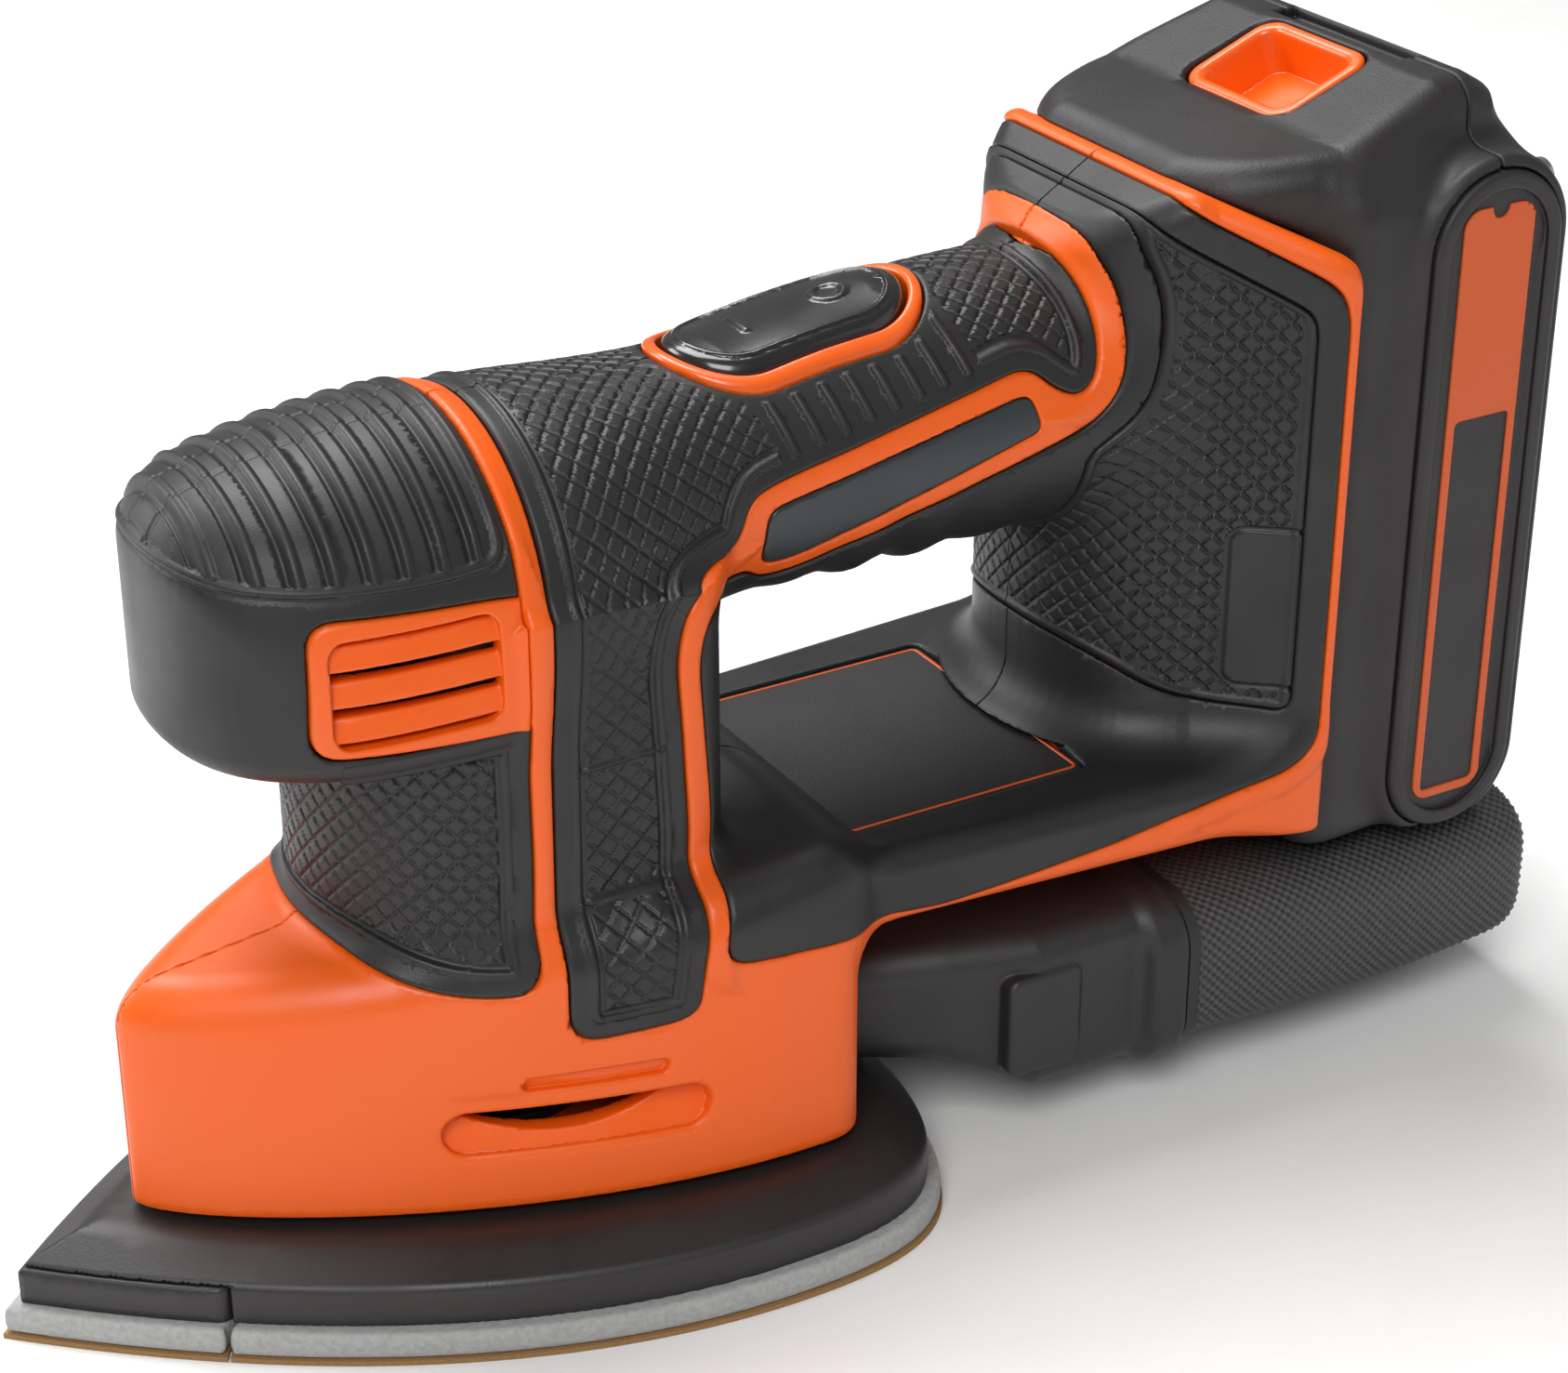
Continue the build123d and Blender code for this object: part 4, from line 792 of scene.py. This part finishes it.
def finish_material(name, colour, roughness, bump_mm=0.0, grain_mm=0.4, tint=0.06, ior=None,
                    metallic=0.0, wear=0.08, stretch=(1, 1, 1), coat=0.0, second=None):
    """A finish: its colour drifts a little, its gloss varies, and its grain stands up in bumps."""
    material = bpy.data.materials.new(name)
    material.use_nodes = True
    tree = material.node_tree
    shader = tree.nodes["Principled BSDF"]
    shader.inputs["Metallic"].default_value = metallic
    if ior:
        shader.inputs["IOR"].default_value = ior
    if coat:
        shader.inputs["Coat Weight"].default_value = coat
        shader.inputs["Coat Roughness"].default_value = 0.06
    place = add_node(tree, "ShaderNodeTexCoord").outputs["Object"]
    place = add_node(tree, "ShaderNodeMapping", {"Vector": place, "Scale": stretch}).outputs[0]
    drift = add_node(tree, "ShaderNodeTexNoise",
                     {"Vector": place, "Scale": 1 / (DRIFT_MM * MM), "Detail": 3.0})
    grain = add_node(tree, "ShaderNodeTexNoise",
                     {"Vector": place, "Scale": 1 / (grain_mm * MM), "Detail": 2.0, "Roughness": 0.6})
    dark = linear(second or colour)
    if not second:
        dark = tuple(c * (1 - tint * 2) for c in dark[:3]) + (1,)
    mixed = add_node(tree, "ShaderNodeMixRGB", {
        "Fac": grain.outputs["Fac"] if second else drift.outputs["Fac"],
        "Color1": dark, "Color2": linear(colour)})
    tree.links.new(mixed.outputs[0], shader.inputs["Base Color"])
    gloss = add_node(tree, "ShaderNodeMapRange", {
        "Value": drift.outputs["Fac"], "From Min": 0.3, "From Max": 0.7,
        "To Min": roughness - wear, "To Max": roughness + wear})
    tree.links.new(gloss.outputs[0], shader.inputs["Roughness"])
    if bump_mm:
        relief = add_node(tree, "ShaderNodeBump", {
            "Height": grain.outputs["Fac"], "Distance": bump_mm * MM, "Strength": 1.0})
        tree.links.new(relief.outputs[0], shader.inputs["Normal"])
    return material


def woven_material():
    """Woven polyester mesh: threads catch the light and the holes between them stay dark."""
    material = finish_material("woven_polyester_mesh", "#555557", 0.55, 0.02, 0.2, 0.1, 1.5)
    tree = material.node_tree
    shader = tree.nodes["Principled BSDF"]
    thread = add_node(tree, "ShaderNodeAttribute", attribute_name="thread", attribute_type="GEOMETRY")
    base = shader.inputs["Base Color"].links[0].from_socket
    mixed = add_node(tree, "ShaderNodeMixRGB", {
        "Fac": thread.outputs["Fac"], "Color1": linear("#0E0E0F"), "Color2": base})
    tree.links.new(mixed.outputs[0], shader.inputs["Base Color"])
    return material


MATERIALS = {}


def make_materials(colours):
    """Every finish of the tool, each named for what it is made of and how."""
    # key: name, colour, roughness, bump in mm, grain in mm, tint, index of refraction
    plastics = {
        # ABS from a spark-eroded mould: a fine even grain, half matt
        "shell": ("moulded_abs_spark_grain", colours.shell, 0.42, 0.022, 0.34, 0.03, 1.5),
        # soft TPE moulded over the shell: matt, with a fainter grain
        "grip": ("overmoulded_tpe", colours.grip, 0.47, 0.03, 0.3, 0.06, 1.48),
        # the battery's case has a coarser grain
        "case": ("moulded_abs_coarse_grain", colours.case, 0.5, 0.05, 0.5, 0.06, 1.5),
        # flat printed label film
        "label": ("printed_polyester_film", "#2A2F33", 0.38, 0.004, 0.5, 0.03, 1.5),
        "label_colour": ("printed_polyester_film_coloured", "#C9500F", 0.4, 0.004, 0.5, 0.02, 1.5),
        # dark and dull, with a little flow pattern
        "plate": ("moulded_glass_filled_nylon", "#252323", 0.45, 0.03, 0.45, 0.07, 1.52),
        "magnet": ("sintered_ferrite", "#45454A", 0.7, 0.05, 0.4, 0.08, 1.6),
        "rubber": ("moulded_nitrile_rubber", "#262626", 0.7, 0.03, 0.4, 0.06, 1.5),
        "black": ("moulded_black_nylon", "#232324", 0.5, 0.03, 0.4, 0.06, 1.52),
        "board": ("solder_masked_glass_epoxy", "#1F5A3A", 0.35, 0.01, 0.5, 0.06, 1.52),
    }
    metals = {
        "steel": ("zinc_plated_steel", "#B9BBBD", 0.32, 0.01, 0.6, 0.04),
        "brass": ("stamped_brass", "#C9A55A", 0.3, 0.008, 0.6, 0.05),
        "zinc": ("die_cast_zinc", "#8F9194", 0.45, 0.05, 0.6, 0.08),
    }
    for key, row in plastics.items():
        MATERIALS[key] = finish_material(*row)
    for key, row in metals.items():
        MATERIALS[key] = finish_material(*row, metallic=1.0)
    # drawn along the motor's axis
    MATERIALS["motor"] = finish_material("drawn_steel_can", "#A8AAAC", 0.36, 0.012, 0.5, 0.05,
                                         metallic=1.0, stretch=(1, 1, 0.05))
    # polished mouldings: a smooth, wet look
    MATERIALS["gloss"] = finish_material("polished_abs", "#1E1D1E", 0.2, 0.004, 0.8, 0.03, 1.52,
                                         coat=0.4)
    MATERIALS["gloss_shell"] = finish_material("polished_abs_coloured", colours.shell, 0.3, 0.006,
                                               0.6, 0.03, 1.52, coat=0.25)
    # closed-cell foam, cut: pale grey with dark pores
    MATERIALS["foam"] = finish_material("cut_closed_cell_foam", "#B4B5B3", 0.85, 0.2, 0.9, 0.1,
                                        1.4, second="#8C8D8C")
    # aluminium oxide grit on paper, drawn coarser than it is so that it shows
    MATERIALS["abrasive"] = finish_material("aluminium_oxide_paper", "#A98252", 0.8, 0.15, 0.35, 0.1,
                                            1.5, second="#7A5934")
    MATERIALS["mesh"] = woven_material()


# ------------------------------------------------------------------ the tool's settings
class SanderSizes(bpy.types.PropertyGroup):
    """Sizes that a user may change."""

    coarseness: FloatProperty(
        name="Coarseness", description="Multiplies the distance between samples of every form",
        default=1.0, min=0.5, max=4.0)
    weave_pitch: FloatProperty(
        name="Weave pitch", description="Distance between threads of the dust bag's mesh",
        default=1.8 * MM, min=0.5 * MM, max=5 * MM, unit="LENGTH")
    bag_sag: FloatProperty(
        name="Bag sag", description="How far the dust bag's underside hangs down",
        default=1.2 * MM, min=0.0, max=4 * MM, unit="LENGTH")


class SanderColours(bpy.types.PropertyGroup):
    """Colours that a user may change, as sRGB hex values."""

    shell: StringProperty(name="Shell", description="Colour of the hard shell", default="#E95C06")
    grip: StringProperty(name="Grip", description="Colour of the soft overmould", default="#1E1D1D")
    case: StringProperty(name="Battery case", description="Colour of the battery", default="#221F1F")


class SANDER_OT_housing(bpy.types.Operator):
    """Builds the two clamshell halves of the housing"""

    bl_idname = "sander.housing"
    bl_label = "Housing shells"

    def execute(self, context):
        piece("housing_shell_left", housing_shell, (-49, -38, 16), (137, 0, 146), 0.5,
              MATERIALS["shell"], "housing", "orange_plastic", ("housing_left",), mirrored=True)
        return {"FINISHED"}


class SANDER_OT_overmoulds(bpy.types.Operator):
    """Builds the soft grips, the loop cover and the textured panels"""

    bl_idname = "sander.overmoulds"
    bl_label = "Overmoulds"

    def execute(self, context):
        grip = MATERIALS["grip"]
        piece("handle_overmould_left", handle_grip, (5, -37, 38), (103, 0, 133.5), 0.38, grip,
              "housing", "soft_grip", ("handle_grip_left",), mirrored=True)
        piece("loop_overmould_left", loop_cover, (26, -38.4, 45), (132, 0, 146), 0.5, grip,
              "housing", "charcoal_plastic", ("loop_cover_left",), mirrored=True)
        piece("rear_panel_left", rear_grip, (86, -38.4, 63), (131, 0, 144), 0.38, grip,
              "housing", "soft_grip", ("rear_grip_left",), mirrored=True)
        piece("neck_overmould", neck_grip, (-22, -29, 49), (4, 29, 93), 0.42, grip,
              "housing", "soft_grip", ("neck_grip",))
        return {"FINISHED"}


class SANDER_OT_nose(bpy.types.Operator):
    """Builds the ribbed palm cap and its two vents"""

    bl_idname = "sander.nose"
    bl_label = "Nose cap and vents"

    def execute(self, context):
        piece("palm_cap", nose_cap, (-40.6, -30, 87.5), (3.4, 30, 131), 0.36, MATERIALS["grip"],
              "housing", "charcoal_plastic", ("nose_cap",))
        piece("vent_left", nose_vent, (-28, -30.4, 90), (4, -18, 113), 0.35, MATERIALS["shell"],
              "housing", "orange_plastic", ("nose_vent_left",), mirrored=True)
        return {"FINISHED"}


class SANDER_OT_trim(bpy.types.Operator):
    """Builds the blank badge plates and the tile on the loop's bar"""

    bl_idname = "sander.trim"
    bl_label = "Badges and inlay"

    def execute(self, context):
        piece("badge_left", badge_plate, (42, -24, 97), (93, -6, 123), 0.4, MATERIALS["label"],
              "housing", "badge", ("badge_plate_left",), mirrored=True)
        piece("loop_tile", bar_inlay, (54, -24.4, 56.6), (98, 24.4, 58.2), 0.4, MATERIALS["case"],
              "housing", "charcoal_plastic", ("bar_inlay",))
        piece("loop_tile_line", inlay_line, (54, -24.4, 57.3), (98, 24.4, 58.3), 0.25,
              MATERIALS["label_colour"], "housing", "orange_plastic")
        return {"FINISHED"}


class SANDER_OT_switch(bpy.types.Operator):
    """Builds the rocker switch and the ring around it"""

    bl_idname = "sander.switch"
    bl_label = "Switch"

    def execute(self, context):
        piece("switch_ring", switch_surround, (33, -15.6, 119), (85, 15.6, 136), 0.35,
              MATERIALS["gloss_shell"], "housing", "orange_gloss", ("switch_surround",))
        piece("rocker_cap", switch_rocker, (36, -12.6, 120), (82, 12.6, 136.5), 0.24,
              MATERIALS["gloss"], "rocker", "gloss_black", ("switch_rocker",))
        return {"FINISHED"}


class SANDER_OT_head(bpy.types.Operator):
    """Builds the plate, the turnable tip and the foam under them"""

    bl_idname = "sander.head"
    bl_label = "Sanding head"

    def execute(self, context):
        piece("backing_plate", platen, (-67, -48, 4.8), (68, 48, 20.2), 0.55, MATERIALS["plate"],
              "sanding_head", "plate_plastic", ("platen",))
        piece("tip_holder", detail_tip, (-68, -20, 4.8), (-16, 20, 11.2), 0.4, MATERIALS["plate"],
              "sanding_head", "plate_plastic", ("detail_tip",))
        cushions = (("foam_cushion", foam, "foam_pad"), ("tip_cushion", tip_foam, "tip_foam"))
        for name, form, node in cushions:
            low, high = (Vector(c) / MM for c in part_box(node))
            made = piece(name, form, low, high, 0.5, MATERIALS["foam"], "sanding_head", "foam", (node,))
        return {"FINISHED"}


class SANDER_OT_battery(bpy.types.Operator):
    """Builds the battery's shells, side panels, labels and release button"""

    bl_idname = "sander.battery"
    bl_label = "Battery"

    def execute(self, context):
        case = MATERIALS["case"]
        piece("battery_front", pack_front, (111.5, -37.4, 37.5), (158, 37.4, 157.4), 0.5, case,
              "battery", "charcoal_plastic", ("pack_front_shell",))
        piece("battery_rear", pack_rear, (157, -37.4, 37.5), (172.4, 37.4, 157.4), 0.5, case,
              "battery", "charcoal_plastic", ("pack_rear_cover",))
        piece("battery_panel_left", pack_panel, (145.6, -38.2, 37.4), (170.4, -35.6, 146.2), 0.35, case,
              "battery", "charcoal_plastic", ("pack_panel_left",), mirrored=True)
        piece("battery_label_left", pack_label, (150.8, -37.4, 42.6), (165.2, -36.5, 141), 0.25,
              MATERIALS["label_colour"], "battery", "badge", mirrored=True)
        piece("button_tray", release_button, (134, -13, 141.5), (157, 13, 158), 0.35,
              MATERIALS["gloss_shell"], "button", "orange_gloss", ("release_button",))
        return {"FINISHED"}


class SANDER_OT_dust(bpy.types.Operator):
    """Builds the dust adaptor and the woven dust bag"""

    bl_idname = "sander.dust"
    bl_label = "Dust adaptor and bag"

    def execute(self, context):
        piece("adaptor", dust_adaptor, (46.5, -38, 6.8), (110.4, 38, 37.4), 0.5, MATERIALS["black"],
              "dust_unit", "black_plastic", ("dust_adaptor",))
        make_bag(context.scene.sander_sizes)
        return {"FINISHED"}


# the dust bag, in millimetres
BAG_START = 112.2
BAG_RUN = 68.6
BAG_LIMIT = 183
BAG_AXIS_Z = 21.6
SECTION_SAMPLES = 2400
ROWS_MM = 170
COLUMNS_MM = 480


def bag_section(along_bag, angles, sag):
    """One ring of the bag: a soft oblong that hangs a little and closes at its end."""
    t = along_bag
    closing = np.clip((t - 0.88) / 0.12, 0, 1)
    shrink = np.sqrt(np.clip(1 - closing ** 2.6, 0, 1))
    half = (36.6 + 1.2 * np.sin(math.pi * min(t * 1.1, 1))) * (0.8 + 0.2 * shrink)
    high = (13.8 + 0.7 * np.sin(math.pi * t)) * (0.62 + 0.38 * shrink)
    power = 0.42
    c, s = np.cos(angles), np.sin(angles)
    y = half * np.sign(c) * np.abs(c) ** power
    z = high * np.sign(s) * np.abs(s) ** (power * 1.15)
    hang = sag * math.sin(math.pi * min(t, 1)) * (1 - (y / 40) ** 2) * np.where(s < 0, 1.0, 0.6)
    return y, BAG_AXIS_Z + z - hang


def make_bag(sizes):
    """The dust bag: a sagging shell whose woven mesh stands up as fine checks."""
    fine = 1.0
    rows = int(ROWS_MM / fine)
    columns = int(COLUMNS_MM / fine)
    sag = sizes.bag_sag / MM
    turns = np.linspace(0, 2 * math.pi, SECTION_SAMPLES, endpoint=False)
    grid = np.zeros((rows, columns, 3))
    around = np.zeros((rows, columns))
    for i in range(rows):
        t = i / (rows - 1)
        y, z = bag_section(t, turns, sag)
        ring = np.stack([y, z], 1)
        lengths = np.linalg.norm(np.roll(ring, -1, 0) - ring, axis=1)
        reach = np.concatenate([[0], np.cumsum(lengths)])
        spots = np.linspace(0, reach[-1], columns, endpoint=False)
        for k in (0, 1):
            grid[i, :, 1 + k] = np.interp(spots, reach, np.append(ring[:, k], ring[0, k]))
        end_bulge = 1.8 * (1 - (grid[i, :, 1] / 38) ** 2) * max(0.0, (t - 0.8) / 0.2)
        grid[i, :, 0] = BAG_START + t * BAG_RUN + end_bulge
        around[i] = spots
    run = np.linspace(0, 71, rows)[:, None]
    a, b = np.gradient(grid, axis=0), np.roll(grid, -1, 1) - np.roll(grid, 1, 1)
    out = np.cross(b, a)
    out /= np.maximum(np.linalg.norm(out, axis=2, keepdims=True), 1e-6)
    pitch = sizes.weave_pitch / MM
    whole = np.round(around[:, -1:].max() / pitch) * pitch
    u = around * whole / np.maximum(around[:, -1:] + around[:, 1:2], 1e-6)
    weave = np.cos(2 * math.pi * u / pitch) * np.cos(2 * math.pi * run / pitch)
    grid = grid + out * (0.3 * (weave - 1))[:, :, None]
    cap = grid[-1].mean(0)
    verts = np.concatenate([grid.reshape(-1, 3), cap[None] + [[0.5, 0, 0]]])
    verts[:, 0] = np.minimum(verts[:, 0], BAG_LIMIT)
    faces = []
    for i in range(rows - 1):
        first = np.arange(columns) + i * columns
        second = np.roll(first, -1)
        faces.append(np.stack([first, second, second + columns, first + columns], 1))
    quads = np.concatenate(faces)
    last = np.arange(columns) + (rows - 1) * columns
    triangles = np.stack([last, np.roll(last, -1), np.full(columns, rows * columns)], 1)
    mouth = np.arange(columns)
    centre = len(verts)
    verts = np.concatenate([verts, [[BAG_START, 0, BAG_AXIS_Z]]])
    triangles = np.concatenate([triangles, np.stack([np.roll(mouth, -1), mouth,
                                                     np.full(columns, centre)], 1)])
    bag = build_mesh("woven_bag", verts, triangles, quads, np.zeros((0, 3)), MATERIALS["mesh"],
                     "dust_unit", ("dust_bag",))
    thread = bag.data.attributes.new("thread", "FLOAT", "POINT")
    shade = np.clip(0.55 + 0.75 * weave, 0, 1).ravel()
    thread.data.foreach_set("value", np.append(shade, [0.4, 0.4]).astype(np.float32))
    return bag


class SANDER_OT_inside(bpy.types.Operator):
    """Gives the motor, drive, cells, screws and other inner pieces their finishes"""

    bl_idname = "sander.inside"
    bl_label = "Inner pieces"

    def execute(self, context):
        finishes = {
            "motor": ("motor_can",), "magnet": ("motor_magnets",),
            "steel": ("housing_screws", "platen_screws", "pack_screws", "motor_shaft",
                      "lower_bearing", "upper_bearing", "eccentric_bearing", "latch_bolt"),
            "zinc": ("eccentric", "armature"), "brass": ("brush_holders", "pack_terminals"),
            "black": ("fan", "motor_end_cap", "motor_mount", "switch_module", "terminal_block",
                      "cell_holder", "bag_frame"),
            "rubber": ("isolator_posts", "outlet_seal"), "board": ("pack_board",),
            "label_colour": ("cells",), "abrasive": ("sanding_sheet", "tip_sheet"),
        }
        for finish, nodes in finishes.items():
            for name in nodes:
                thing = frame["nodes"][name]
                thing.data.materials.clear()
                thing.data.materials.append(MATERIALS[finish])
        return {"FINISHED"}


# the studio, in metres, watts and degrees
FLOOR_HALF = 4.0
SKY_STRENGTH = 0.21
LIT_SPOT = (0.05, 0, 0.07)
SOFTBOXES = (
    ("key_softbox", (-0.55, -0.75, 0.95), 0.6, 10), ("fill_softbox", (0.9, -0.7, 0.5), 0.9, 1.2),
    ("top_softbox", (0.0, 0.45, 1.0), 0.7, 13), ("rim_softbox", (-0.7, 0.75, 0.5), 0.5, 6))
CAMERA_LENS = 78.68
CAMERA_SPOT = (-0.17198, -0.39510, 0.30450)
CAMERA_AZIMUTH = -30.28
CAMERA_ELEVATION = 27.03


class SANDER_OT_stage(bpy.types.Operator):
    """Sets up the floor, the soft light and the camera"""

    bl_idname = "sander.stage"
    bl_label = "Stage"

    def execute(self, context):
        mesh = bpy.data.meshes.new("studio_floor")
        corners = [(u * FLOOR_HALF, v * FLOOR_HALF, 0) for u, v in ((-1, -1), (1, -1), (1, 1), (-1, 1))]
        mesh.from_pydata(corners, [], [(0, 1, 2, 3)])
        floor = bpy.data.objects.new("studio_floor", mesh)
        context.scene.collection.objects.link(floor)
        # painted board, nearly white: a faint mottle only
        mesh.materials.append(finish_material("matt_painted_board", "#F3F3F2", 0.7, 0.0, 3, 0.01, 1.5))
        world = bpy.data.worlds.new("studio")
        world.use_nodes = True
        world.node_tree.nodes["Background"].inputs["Color"].default_value = linear("#FFFFFF")
        world.node_tree.nodes["Background"].inputs["Strength"].default_value = SKY_STRENGTH
        context.scene.world = world
        context.scene.view_settings.view_transform = "Standard"
        for name, spot, size, power in SOFTBOXES:
            lamp = bpy.data.lights.new(name, "AREA")
            lamp.energy = power
            lamp.size = size
            thing = bpy.data.objects.new(name, lamp)
            thing.location = spot
            aim = Vector(LIT_SPOT) - Vector(spot)
            thing.rotation_euler = aim.to_track_quat("-Z", "Y").to_euler()
            context.scene.collection.objects.link(thing)
        camera = bpy.data.objects.new("camera", bpy.data.cameras.new("camera"))
        camera.data.lens = CAMERA_LENS
        camera.data.sensor_width = 36
        camera.data.clip_start = 0.01
        azimuth, elevation = math.radians(CAMERA_AZIMUTH), math.radians(CAMERA_ELEVATION)
        level = math.cos(elevation)
        back = Vector((math.sin(azimuth) * level, -math.cos(azimuth) * level, math.sin(elevation)))
        camera.location = CAMERA_SPOT
        camera.rotation_euler = back.to_track_quat("Z", "Y").to_euler()
        context.scene.collection.objects.link(camera)
        context.scene.camera = camera
        return {"FINISHED"}


class SANDER_PT_panel(bpy.types.Panel):
    """Lists the sander's sizes, colours and building steps"""

    bl_idname = "SANDER_PT_panel"
    bl_label = "Detail sander"
    bl_space_type = "VIEW_3D"
    bl_region_type = "UI"
    bl_category = "Sander"

    def draw(self, context):
        for group in (context.scene.sander_sizes, context.scene.sander_colours):
            for key in group.__annotations__:
                self.layout.prop(group, key)
        for step in STEPS:
            self.layout.operator(step.bl_idname)


STEPS = (SANDER_OT_housing, SANDER_OT_overmoulds, SANDER_OT_nose, SANDER_OT_trim, SANDER_OT_switch,
         SANDER_OT_head, SANDER_OT_battery, SANDER_OT_dust, SANDER_OT_inside, SANDER_OT_stage)
CLASSES = (SanderSizes, SanderColours) + STEPS + (SANDER_PT_panel,)


def register():
    for cls in CLASSES:
        bpy.utils.register_class(cls)
    bpy.types.Scene.sander_sizes = PointerProperty(type=SanderSizes)
    bpy.types.Scene.sander_colours = PointerProperty(type=SanderColours)


def unregister():
    del bpy.types.Scene.sander_colours
    del bpy.types.Scene.sander_sizes
    for cls in reversed(CLASSES):
        bpy.utils.unregister_class(cls)


def main():
    register()
    make_materials(bpy.context.scene.sander_colours)
    for step in STEPS:
        group, name = step.bl_idname.split(".")
        getattr(getattr(bpy.ops, group), name)()


if __name__ == "__main__":
    main()
